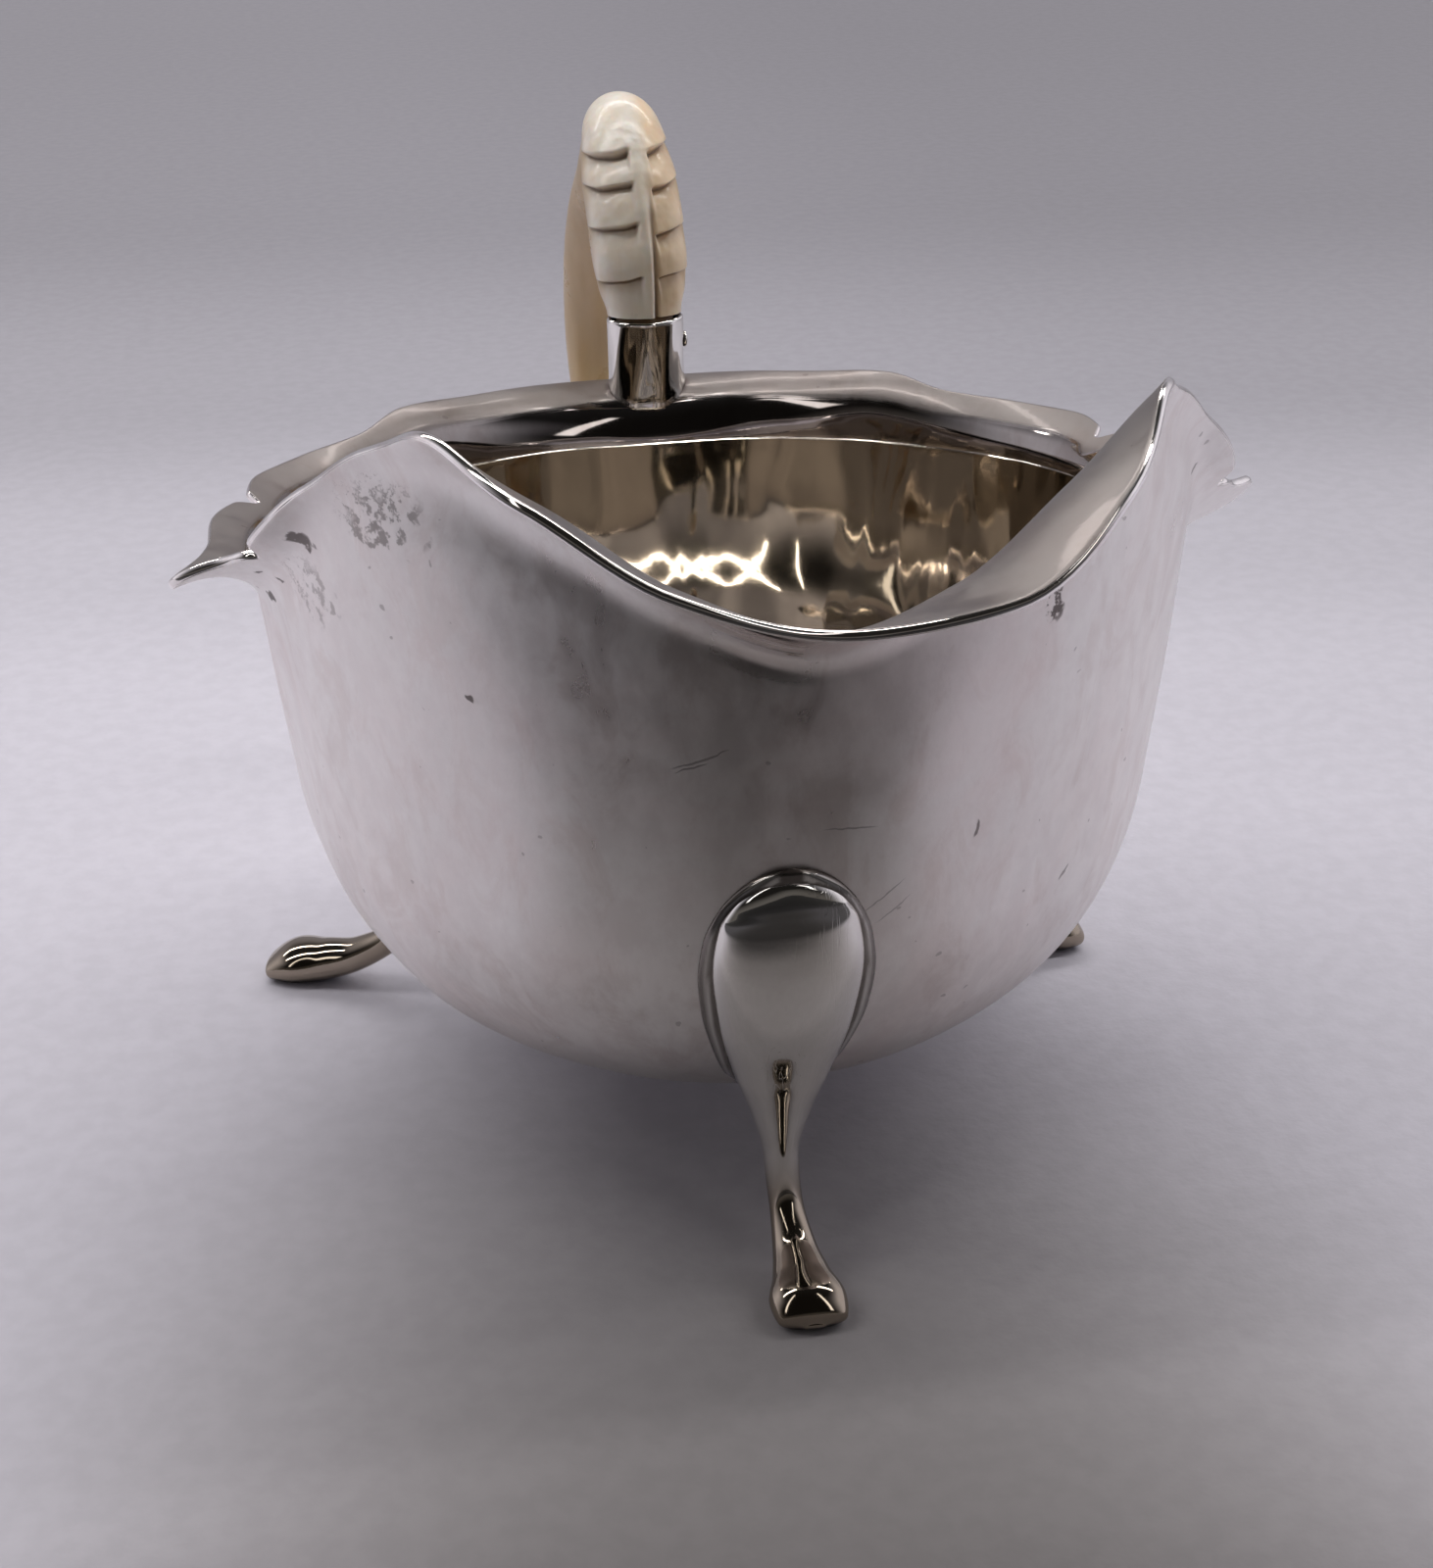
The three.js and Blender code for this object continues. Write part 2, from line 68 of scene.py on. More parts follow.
# angle from the lip, height of the turn, reach of the rim, rim height, edge slope
RIM_STATIONS = np.array([
    (0, 57.0, 7.6, 64.0, 30),
    (14, 60.5, 9.3, 67.8, 18),
    (26, 65.0, 7.4, 73.4, 20),
    (37, 67.0, 3.0, 75.8, 50),
    (47, 65.5, 1.4, 73.8, 65),
    (56, 62.0, 2.0, 69.2, 55),
    (63, 58.5, 3.8, 64.0, 30),
    (70, 55.5, 4.6, 60.0, 10),
    (77, 53.5, 5.6, 57.0, -5),
    (85, 52.3, 5.2, 55.9, 5),
    (95, 51.6, 4.8, 55.8, 15),
    (106, 51.0, 4.2, 55.2, 18),
    (125, 49.8, 3.4, 54.4, 20),
    (144, 48.8, 3.2, 54.8, 20),
    (160, 48.2, 5.2, 53.5, 4),
    (180, 47.8, 7.2, 52.1, -8),
], float)

# the cut outline, as arcs of (angle, share of the reach that is left)
RIM_ARCS = [
    [(0, 1.0), (15, 0.96), (28, 1.0), (37, 1.04)],
    [(37, 1.04), (44, 0.95), (53, 0.92), (60, 0.98), (64.5, 0.94), (66.3, 0.72)],
    [(66.3, 0.72), (67.5, 0.85), (70, 0.97), (74, 1.26)],
    [(74, 1.26), (81, 1.02), (90, 0.84), (98, 0.9), (104.5, 0.84), (107.5, 0.6)],
    [(107.5, 0.6), (109.5, 0.84), (115, 0.98), (124, 0.93), (135, 0.82), (144.5, 0.98)],
    [(144.5, 0.98), (156, 0.92), (180, 1.0)],
]
ROLL_LIFT = 0.65        # share of the rim's rise over which the roll starts upright
ROLL_OUT = 0.04         # how little the roll leans out where it starts
EDGE_LEAD = 0.45        # share of the rim's size over which it turns to the edge's slope
# hand bending on the right side only: angle, spread, reach, height (slope, lift)
DROOP_ANGLE, DROOP_SPREAD, DROOP_REACH, DROOP_HEIGHT = 19, 12, 1.1, -2.7
BEND_ANGLE, BEND_SPREAD, BEND_REACH, BEND_HEIGHT = 76, 9, -0.9, -0.6
BEND_SLOPE, BEND_LIFT = 42, -0.45

# ---- legs ----

# distance from the axis, height, half width, half thickness
LEG_SPINE = np.array([
    (41.8, 40.3, 0.6, 0.35),
    (41.75, 39.95, 2.0, 0.75),
    (41.6, 39.1, 3.5, 1.15),
    (41.4, 37.8, 4.65, 1.55),
    (41.1, 35.8, 5.6, 1.95),
    (40.4, 31.8, 6.1, 2.3),
    (38.9, 26.0, 5.45, 2.5),
    (36.9, 20.6, 4.2, 2.5),
    (35.6, 15.4, 2.6, 2.1),
    (35.2, 10.8, 1.55, 1.7),
    (36.2, 6.6, 1.45, 1.4),
    (38.7, 3.7, 1.85, 1.7),
    (41.4, 2.4, 2.5, 2.1),
    (43.9, 1.8, 3.25, 2.2),
    (45.7, 1.1, 2.9, 1.4),
    (46.4, 0.8, 0.8, 0.4),
])
SPLAY_START = 20.0      # the feet spread below this height
TOE_POWER = 4
LEG_RINGS, LEG_SIDES = 150, 72
# angle from the lip, inset of the plate, splay of the foot and its power, bend of the toe
LEG_PLACES = {
    "front_leg": (-2.75, 0.0, 0.0, 1.0, 1.3),
    "left_rear_leg": (-118.4, -2.4, 4.4, 4.0, 0.0),
    "right_rear_leg": (107.3, -2.2, -4.9, 0.8, 0.0),
}
# height on the wall and half width of the thin plate under each leg
PLATE_OUTLINE = np.array([
    (16.0, 3.3), (19.0, 4.7), (23.0, 5.9), (27.0, 6.8), (31.0, 7.15),
    (34.5, 6.75), (37.5, 5.55), (39.3, 4.2), (40.5, 2.7), (41.1, 1.3), (41.25, 0.3),
])
PLATE_THICK = 0.55
PLATE_SINK = 0.2        # how far the plate's back lies inside the wall
LEG_SINK = 0.25         # and the castings' backs
PLATE_ROWS, PLATE_COLUMNS = 70, 41
PLATE_EDGE_POWER = 8    # a high power keeps the plate flat up to its rounded edge
PLATE_THIN_WIDTH = 1.5  # below this half width the plate also gets thinner
SHAFT_ROWS = 10         # rows of the leg's spine from its top to its narrowest place

# ---- sockets, handle and pins ----

HANDLE_X = 1.25
SOCKET_HALF = (4.0, 3.3)
BORE_HALF = (3.45, 2.75)
UPPER_MOUTH = np.array((HANDLE_X, 46.6, 60.5))
LOWER_MOUTH = np.array((HANDLE_X, 50.6, 28.4))
LOWER_TILT = math.radians(20)
UPPER_DOWN = np.array((0.0, 0.0, -1.0))
LOWER_DOWN = np.array((0.0, -math.cos(LOWER_TILT), -math.sin(LOWER_TILT)))
PIN_DROP = 2.8

# lean out of the sockets' plane, centre line (y, z), half width across, half thickness
GRIP_LINE = np.array([
    (-0.1, 46.8, 63.6, 4.6, 3.6),
    (-0.3, 47.2, 67.6, 5.0, 3.9),
    (-0.55, 49.6, 73.2, 5.0, 4.0),
    (-0.6, 54.8, 77.6, 4.2, 4.0),
    (-0.35, 60.8, 76.2, 3.5, 3.8),
    (-0.4, 66.4, 71.4, 3.6, 3.6),
    (-0.6, 72.4, 65.6, 3.9, 3.5),
    (-0.7, 77.4, 58.2, 4.0, 3.5),
    (-0.6, 79.6, 49.6, 4.0, 3.5),
    (-0.4, 76.8, 41.2, 3.9, 3.5),
    (-0.2, 69.6, 35.2, 3.9, 3.5),
    (0.0, 60.4, 32.0, 3.9, 3.4),
])
SHOULDER = (3.9, 3.3)
SHOULDER_GAP = 0.25
TENON = (3.0, 2.4)
TENON_LENGTH = 1.5


# ---- curves ----

def smooth_curve(xs, ys):
    """A curve through points that never swings beyond its neighbours."""
    xs, ys = np.asarray(xs, float), np.asarray(ys, float)
    slope = np.zeros_like(ys)
    steps = np.diff(ys) / np.diff(xs)
    before, after = steps[:-1], steps[1:]
    same = before * after > 0
    total = np.where(same, before + after, 1.0)
    slope[1:-1] = np.where(same, 2 * before * after / total, 0.0)

    def curve(x):
        x = np.asarray(x, float)
        i = np.searchsorted(xs[1:-1], x, side="left")
        span = xs[i + 1] - xs[i]
        t = np.clip((x - xs[i]) / span, 0, 1)
        h1 = t * t * (3 - 2 * t)
        h2 = t * (1 - t) ** 2 * span
        h3 = t * t * (t - 1) * span
        return ys[i] * (1 - h1) + ys[i + 1] * h1 + slope[i] * h2 + slope[i + 1] * h3

    return curve


def spline(points, t):
    """A Catmull-Rom spline through rows of numbers; t runs from 0 to 1."""
    points = np.asarray(points, float)
    ends = (2 * points[0] - points[1], 2 * points[-1] - points[-2])
    p = np.vstack([ends[0], points, ends[1]])
    s = np.clip(np.asarray(t, float), 0, 1) * (len(points) - 1)
    i = np.minimum(s.astype(int), len(points) - 2)
    u = (s - i)[:, None]
    p0, p1, p2, p3 = p[i], p[i + 1], p[i + 2], p[i + 3]
    return 0.5 * (2 * p1 + (p2 - p0) * u + (2 * p0 - 5 * p1 + 4 * p2 - p3) * u ** 2
                  + (3 * p1 - p0 - 3 * p2 + p3) * u ** 3)


def smoothstep(low, high, x):
    t = np.clip((x - low) / (high - low), 0, 1)
    return t * t * (3 - 2 * t)


def bell(x, centre, width):
    return np.exp(-((x - centre) / width) ** 2)


def unit(v):
    return v / np.linalg.norm(v, axis=-1, keepdims=True)


# ---- the bowl's sheet ----

rim_turn = smooth_curve(RIM_STATIONS[:, 0], RIM_STATIONS[:, 1])
rim_reach = smooth_curve(RIM_STATIONS[:, 0], RIM_STATIONS[:, 2])
rim_height = smooth_curve(RIM_STATIONS[:, 0], RIM_STATIONS[:, 3])
rim_slope = smooth_curve(RIM_STATIONS[:, 0], RIM_STATIONS[:, 4])
ARC_CURVES = [smooth_curve(*zip(*arc)) for arc in RIM_ARCS]
ARC_ENDS = np.array([arc[-1][0] for arc in RIM_ARCS], float)


def rim_share(side):
    """How much of the rim's full reach the cut outline leaves at an angle."""
    index = np.minimum(np.searchsorted(ARC_ENDS, side, side="left"), len(RIM_ARCS) - 1)
    share = np.zeros_like(side)
    for i, curve in enumerate(ARC_CURVES):
        mine = index == i
        if mine.any():
            share[mine] = curve(side[mine])
    return share


def half_width_at(height):
    return WALL_HALF_WIDTH + WALL_TAPER * (height - TAPER_HEIGHT)


def wall_half_width(height):
    """Half width of the wall or of its rounded corner at a height."""
    up = np.clip((height - BOTTOM_HEIGHT) / CORNER_HEIGHT, 0, 1)
    cosine = (1 - up) ** (VERTICAL_POWER / 2)
    sine = np.sqrt(1 - cosine ** 2)
    return half_width_at(height) * sine ** (2 / RADIAL_POWER)


def plan_point(angle, half_width, outwards, height):
    """A point on the oval plan of a half width, moved outwards along the oval's normal."""
    sine, cosine = np.sin(np.radians(angle)), np.cos(np.radians(angle))
    nx, ny = LENGTH_TO_WIDTH * sine, -cosine
    size = np.hypot(nx, ny)
    x = half_width * sine + outwards * nx / size
    y = -LENGTH_TO_WIDTH * half_width * cosine + outwards * ny / size
    return np.stack([x, y, height + 0 * x], -1)


def wall_point(angle, share):
    """The corner and the wall, from the bottom centre (0) to the turn (1)."""
    phase = np.clip(share / CORNER_SHARE, 0, 1) * (math.pi / 2)
    cosine = np.maximum(np.cos(phase), 0)
    corner = BOTTOM_HEIGHT + CORNER_HEIGHT * (1 - cosine ** (2 / VERTICAL_POWER))
    rest = np.clip((share - CORNER_SHARE) / (1 - CORNER_SHARE), 0, 1)
    top = BOTTOM_HEIGHT + CORNER_HEIGHT
    height = corner + (rim_turn(np.abs(angle)) - top) * rest
    half = half_width_at(height) * np.sin(phase) ** (2 / RADIAL_POWER)
    return plan_point(angle, half, 0, height)


def rim_point(angle, share):
    """The everted rim, from the turn (0) to the cut edge (1)."""
    side = np.abs(angle)
    bent = bell(angle, BEND_ANGLE, BEND_SPREAD)
    turn, reach = rim_turn(side), rim_reach(side) + bent * BEND_REACH
    rise = rim_height(side) - turn + bent * BEND_HEIGHT
    slope = np.radians(rim_slope(side) + bent * BEND_SLOPE)
    droop = bell(angle, DROOP_ANGLE, DROOP_SPREAD)
    lead = EDGE_LEAD * np.hypot(reach, rise)
    t = share * rim_share(side)
    w1, w2, w3 = 3 * t * (1 - t) ** 2, 3 * t * t * (1 - t), t ** 3
    out = w1 * ROLL_OUT * rise + w2 * (reach - lead * np.cos(slope)) + w3 * reach
    up = w1 * (ROLL_LIFT + bent * BEND_LIFT) * rise + w2 * (rise - lead * np.sin(slope)) + w3 * rise
    out = out + droop * DROOP_REACH * share
    up = up + droop * DROOP_HEIGHT * share ** 2
    return plan_point(angle, half_width_at(turn), out, turn + up)


def hand_work(angle, share):
    """Small swells left by raising the bowl from sheet, in millimetres, on the wall only."""
    a = np.radians(angle)
    swell = 0.10 * np.sin(7 * a + 1.3 * np.sin(4 * share) + 0.6)
    swell = swell + 0.07 * np.sin(12 * a + 5.0 * share + 2.1 * np.sin(2 * a))
    swell = swell + 0.05 * np.sin(19 * a - 9.0 * share)
    return swell * smoothstep(0.25, 0.6, share) * (1 - smoothstep(0.85, 1.0, share))


def plain_sheet(angle, share):
    wall = wall_point(angle, np.minimum(share, TURN))
    rim = rim_point(angle, np.maximum(share - TURN, 0))
    return np.where((share <= TURN)[..., None], wall, rim)


def sheet_normal(angle, share):
    step = 1e-3
    along = plain_sheet(angle, np.minimum(share + step, EDGE)) - plain_sheet(angle, share - step)
    across = plain_sheet(angle + step, share) - plain_sheet(angle - step, share)
    return unit(np.cross(across, along))


def sheet_point(angle, share, offset=0.0):
    """A point of the sheet's outside, or offset from it along the outward normal."""
    lift = offset + hand_work(angle, share)
    return plain_sheet(angle, share) + sheet_normal(angle, share) * lift[..., None]


def meridian_angles(steps):
    """Angles of the meridians, closer together at the ends of each arc of the rim."""
    half = []
    for arc, count in zip(RIM_ARCS, steps):
        t = np.arange(count) / count
        half.append(arc[0][0] + (arc[-1][0] - arc[0][0]) * (t - 0.1 * np.sin(2 * np.pi * t)))
    half = np.concatenate(half)
    return np.concatenate([half, [180.0], -half[:0:-1]])


# ---- meshes ----

# The bowl's axis in the CAD frame, from the CAD socket and the back of the CAD bowl's rim.
socket_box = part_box("upper_handle_socket")
AXIS_X = (socket_box[0].x + socket_box[1].x) / 2 / MM - HANDLE_X
back_edge = np.array([180.0]), np.array([float(EDGE)])
inner_edge = plain_sheet(*back_edge) - SHEET * sheet_normal(*back_edge)
AXIS_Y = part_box("bowl")[1].y / MM - inner_edge[0, 1]


def placed(points):
    """Points around the bowl's axis, in the CAD frame and in metres."""
    return (np.asarray(points, float) + (AXIS_X, AXIS_Y, 0.0)) * MM


def ring_faces(rows, count, first=0):
    faces = []
    for r in range(rows - 1):
        for i in range(count):
            a, b = first + r * count + i, first + r * count + (i + 1) % count
            faces.append((a, b, b + count, a + count))
    return faces


def body_from_rings(name, rings, attributes=None, material=None):
    """A closed, smooth piece from an array of rings, closed by a fan at both ends."""
    rows, count, _ = rings.shape
    points = np.vstack([rings.reshape(-1, 3), rings[0].mean(0), rings[-1].mean(0)])
    faces = ring_faces(rows, count)
    first, last, start = rows * count, rows * count + 1, (rows - 1) * count
    for i in range(count):
        j = (i + 1) % count
        faces.append((first, j, i))
        faces.append((last, start + i, start + j))
    return make_piece(name, points, faces, attributes, material)


def make_piece(name, points, faces, attributes=None, material=None):
    """A smooth mesh object; attributes hold one number per point, for its material."""
    mesh = bpy.data.meshes.new(name)
    mesh.from_pydata(placed(points).tolist(), [], faces)
    mesh.update()
    for key, values in (attributes or {}).items():
        layer = mesh.attributes.new(key, "FLOAT", "POINT")
        full = np.zeros(len(points))
        full[:len(values)] = values
        layer.data.foreach_set("value", full)
    mesh.shade_smooth()
    piece = bpy.data.objects.new(name, mesh)
    bpy.context.scene.collection.objects.link(piece)
    if material:
        mesh.materials.append(material)
    return piece


def stands_for(piece, node):
    """Parents a piece to the root body and hides the CAD node it replaces."""
    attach(piece, "root")
    if node:
        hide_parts(node)
    return piece


# ---- node helper ----

# places of the colour sockets on a mix node
MIX_FACTOR, MIX_A, MIX_B, MIX_RESULT = 0, 6, 7, 2


class Graph:
    """Short calls for making shader nodes and linking their sockets."""

    def __init__(self, tree):
        self.tree = tree
        tree.nodes.clear()

    def add(self, kind, inputs=None, **settings):
        node = self.tree.nodes.new(kind)
        for key, value in settings.items():
            setattr(node, key, value)
        for key, value in (inputs or {}).items():
            self.put(node.inputs[key], value)
        return node

    def put(self, socket, value):
        if isinstance(value, bpy.types.NodeSocket):
            self.tree.links.new(value, socket)
        elif isinstance(value, (int, float)) or not hasattr(socket, "default_value"):
            socket.default_value = value
        else:
            wide = len(socket.default_value)
            socket.default_value = tuple(value) + (1.0,) * (wide - len(value))

    def math(self, operation, *values):
        inputs = dict(enumerate(values))
        return self.add("ShaderNodeMath", inputs, operation=operation).outputs[0]

    def plus(self, a, b):
        return self.math("ADD", a, b)

    def times(self, a, b):
        return self.math("MULTIPLY", a, b)

    def largest(self, a, b):
        return self.math("MAXIMUM", a, b)

    def vector(self, operation, *values):
        node = self.add("ShaderNodeVectorMath", dict(enumerate(values)), operation=operation)
        return node.outputs["Value" if operation == "DOT_PRODUCT" else 0]

    def ramp(self, value, low, high, to_low=0.0, to_high=1.0, smooth=True):
        kind = "SMOOTHSTEP" if smooth else "LINEAR"
        inputs = {0: value, 1: low, 2: high, 3: to_low, 4: to_high}
        return self.add("ShaderNodeMapRange", inputs, interpolation_type=kind).outputs[0]

    def mix(self, factor, a, b, blend="MIX"):
        node = self.add("ShaderNodeMix", None, data_type="RGBA", blend_type=blend)
        self.put(node.inputs[MIX_FACTOR], factor)
        self.put(node.inputs[MIX_A], a)
        self.put(node.inputs[MIX_B], b)
        return node.outputs[MIX_RESULT]

    def multiply_color(self, a, b, factor=1.0):
        return self.mix(factor, a, b, "MULTIPLY")

    def noise(self, where, scale, detail=3.0, rough=0.5, distortion=0.0):
        inputs = {"Vector": where, "Scale": scale, "Detail": detail, "Roughness": rough,
                  "Distortion": distortion}
        return self.add("ShaderNodeTexNoise", inputs).outputs[0]

    def stretched(self, where, scale, turn=(0, 0, 0)):
        inputs = {"Vector": where, "Scale": scale, "Rotation": turn}
        return self.add("ShaderNodeMapping", inputs).outputs[0]

    def attribute(self, name):
        return self.add("ShaderNodeAttribute", attribute_name=name).outputs["Fac"]

    def bump(self, height, strength, distance):
        inputs = {"Strength": strength, "Distance": distance, "Height": height}
        return self.add("ShaderNodeBump", inputs).outputs[0]

    def surface(self, shader):
        out = self.add("ShaderNodeOutputMaterial")
        self.tree.links.new(shader, out.inputs["Surface"])


def new_material(name):
    material = bpy.data.materials.new(name)
    material.use_nodes = True
    return material, Graph(material.node_tree)


# ---- materials ----

WHITE = (1, 1, 1)
SILVER_PALE, SILVER_ROSY = (0.97, 0.94, 0.92), (0.95, 0.875, 0.855)
SILVER_MOTTLE, SILVER_WORN = (0.93, 0.92, 0.92), (0.90, 0.875, 0.865)
# the first darkens the matte rim and paints shade on the glossy back roll; the second is painted shade on
# the outside near the bottom, below these heights
SILVER_DULL_AND_SHADE, SILVER_UNDERSIDE_SHADE = (0.27, 0.255, 0.25), (0.60, 0.59, 0.58)
UNDERSIDE_SHADE_HEIGHTS = (0.013, 0.025)
GILT_LIGHT, GILT_DEEP = (0.62, 0.565, 0.48), (0.48, 0.43, 0.37)
# stains on the outside with painted shade in its corners, and painted shade in the cast parts' hollows
# and seams
STAIN_AND_SHADE_COLOR, CREASE_SHADE_COLOR = (0.13, 0.10, 0.095), (0.10, 0.08, 0.07)
CAST_PALE, CAST_GRAY = (0.84, 0.82, 0.79), (0.78, 0.75, 0.71)
# the feet are darker and browner below these heights: tarnish, and painted shade for the shadowed floor
# they reflect
FOOT_TARNISH_AND_SHADE, FOOT_HEIGHTS = (0.44, 0.385, 0.32), (0.006, 0.012)
PLAIN_IVORY, PLAIN_IVORY_BAND = (0.50, 0.35, 0.18), (0.58, 0.43, 0.25)
CREAM_IVORY, CREAM_IVORY_CLOUD = (1.0, 0.95, 0.87), (0.93, 0.82, 0.67)
WARM_SIDE, WARM_SIDE_WIDTH = (1.0, 0.86, 0.68), 1.6
# the first colours the painted shade in the carving's cuts and groove
IVORY_CUT_SHADE, IVORY_GRAIN = (0.20, 0.11, 0.05), (0.90, 0.88, 0.85)
SHARP_ROUGHNESS = 0.04
BOWL_HAZE, BOWL_SHARP, GLOSS_SHARP, CAST_SHARP = 0.15, 0.05, 0.65, 0.72
CREASE_SHADE_REACH, SMALL_CREASE_SHADE_REACH = 0.0013, 0.0012   # how far from a corner the painted shade reaches, in metres


def scratch_field(g, where, turn, scale, width):
    """Fine broken lines in one direction, 1 on a line and 0 elsewhere."""
    turned = g.stretched(where, (1.0, 1.0, 0.03), turn)
    lines = g.noise(turned, scale, 1.0)
    near = g.math("ABSOLUTE", g.math("SUBTRACT", lines, 0.5))
    broken = g.ramp(g.noise(where, scale * 0.03, 2.0), 0.5, 0.62)
    return g.times(g.ramp(near, 0.0, width, 1.0, 0.0), broken)


def metal_shader(g, color, roughness, bump, sharp_share, haze=0.0):
    """Metal with a blurred and a sharp reflection, and a haze of scattered light."""
    blurred = g.add("ShaderNodeBsdfPrincipled", {
        "Base Color": color, "Metallic": g.math("SUBTRACT", 1.0, haze), "Roughness": roughness,
        "Normal": bump})
    sharp = g.add("ShaderNodeBsdfPrincipled", {
        "Base Color": color, "Metallic": 1.0, "Roughness": SHARP_ROUGHNESS, "Normal": bump})
    mixed = g.add("ShaderNodeMixShader", {0: sharp_share})
    g.tree.links.new(blurred.outputs[0], mixed.inputs[1])
    g.tree.links.new(sharp.outputs[0], mixed.inputs[2])
    return mixed.outputs[0]


# Marks on the outside: angle from the lip, height, tilt, half length and half width (mm),
# strength, and whether the mark breaks up into spots.
MARKS = [
    (-59.8, 63.9, 10, 1.15, 0.75, 0.9, False), (-72.8, 55.9, 0, 0.95, 0.70, 0.9, False),
    (-70.0, 58.9, 0, 0.70, 0.20, 0.9, False), (-67.5, 58.6, -10, 0.60, 0.22, 0.9, False),
    (-47.5, 69.0, 25, 5.50, 2.40, 0.6, True), (-62.0, 60.0, 40, 4.00, 2.00, 0.4, True),
    (-12.6, 51.2, 25, 2.20, 0.13, 0.7, False), (-13.6, 50.5, 25, 1.30, 0.11, 0.7, False),
    (-37.8, 54.5, -45, 0.50, 0.25, 0.9, False), (3.8, 44.3, -4, 2.30, 0.09, 0.6, False),
    (19.8, 41.8, 70, 0.90, 0.18, 0.8, False), (36.5, 33.4, 55, 0.90, 0.20, 0.7, False),
    (27.0, 60.2, 80, 1.90, 0.80, 1.0, True), (58.0, 64.2, 80, 0.50, 0.30, 0.7, False),
    (8.0, 37.5, 35, 2.60, 0.08, 0.5, False), (9.5, 36.2, 35, 2.00, 0.08, 0.4, False),
]


def mark_frame(angle, height, tilt):
    """Centre, long direction and cross direction of a mark on the outside."""
    shares = np.linspace(0.3, 1.9, 400)
    meridian = sheet_point(np.full_like(shares, angle), shares)
    share = float(np.interp(height, meridian[:, 2], shares))
    spots = sheet_point(np.array((angle, angle + 0.1, angle)), np.array((share, share, share + 0.01)))
    level, upright = unit(spots[1] - spots[0]), unit(spots[2] - spots[0])
    c, s = math.cos(math.radians(tilt)), math.sin(math.radians(tilt))
    return placed(spots[0]), level * c + upright * s, upright * c - level * s


def marks_field(g, where, wobble, spots):
    """The darkest of all marks at a point, from 0 to 1."""
    total = 0.0
    for angle, height, tilt, length, width, strength, spotted in MARKS:
        centre, along, across = mark_frame(angle, height, tilt)
        offset = g.vector("SUBTRACT", where, tuple(centre))
        u = g.vector("DOT_PRODUCT", offset, tuple(along * (1000 / length)))
        v = g.plus(g.vector("DOT_PRODUCT", offset, tuple(across * (1000 / width))), wobble)
        away = g.plus(g.times(u, u), g.times(v, v))
        mark = g.ramp(away, 0.4, 1.1, strength, 0.0)
        if spotted:
            mark = g.times(mark, spots)
        total = g.largest(total, mark)
    return total


def outside_stain_and_shade(g, where):
    """Marks and pits on the outside, and painted shade in the bowl's corners, from 0 to 1."""
    spots = g.ramp(g.noise(where, 900.0, 3.0, 0.7), 0.48, 0.58)
    wobble = g.ramp(g.noise(where, 900.0, 2.0), 0.3, 0.7, -0.8, 0.8)
    stain_and_shade = g.times(g.attribute("outside"), marks_field(g, where, wobble, spots))
    pits = g.ramp(g.noise(where, 900.0, 1.0), 0.77, 0.80)
    stain_and_shade = g.largest(stain_and_shade, g.times(pits, 0.4))
    # painted shade in creases and corners, by ambient occlusion
    nook = g.add("ShaderNodeAmbientOcclusion", {"Distance": CREASE_SHADE_REACH})
    return g.largest(stain_and_shade, g.ramp(nook.outputs["AO"], 0.86, 0.5))


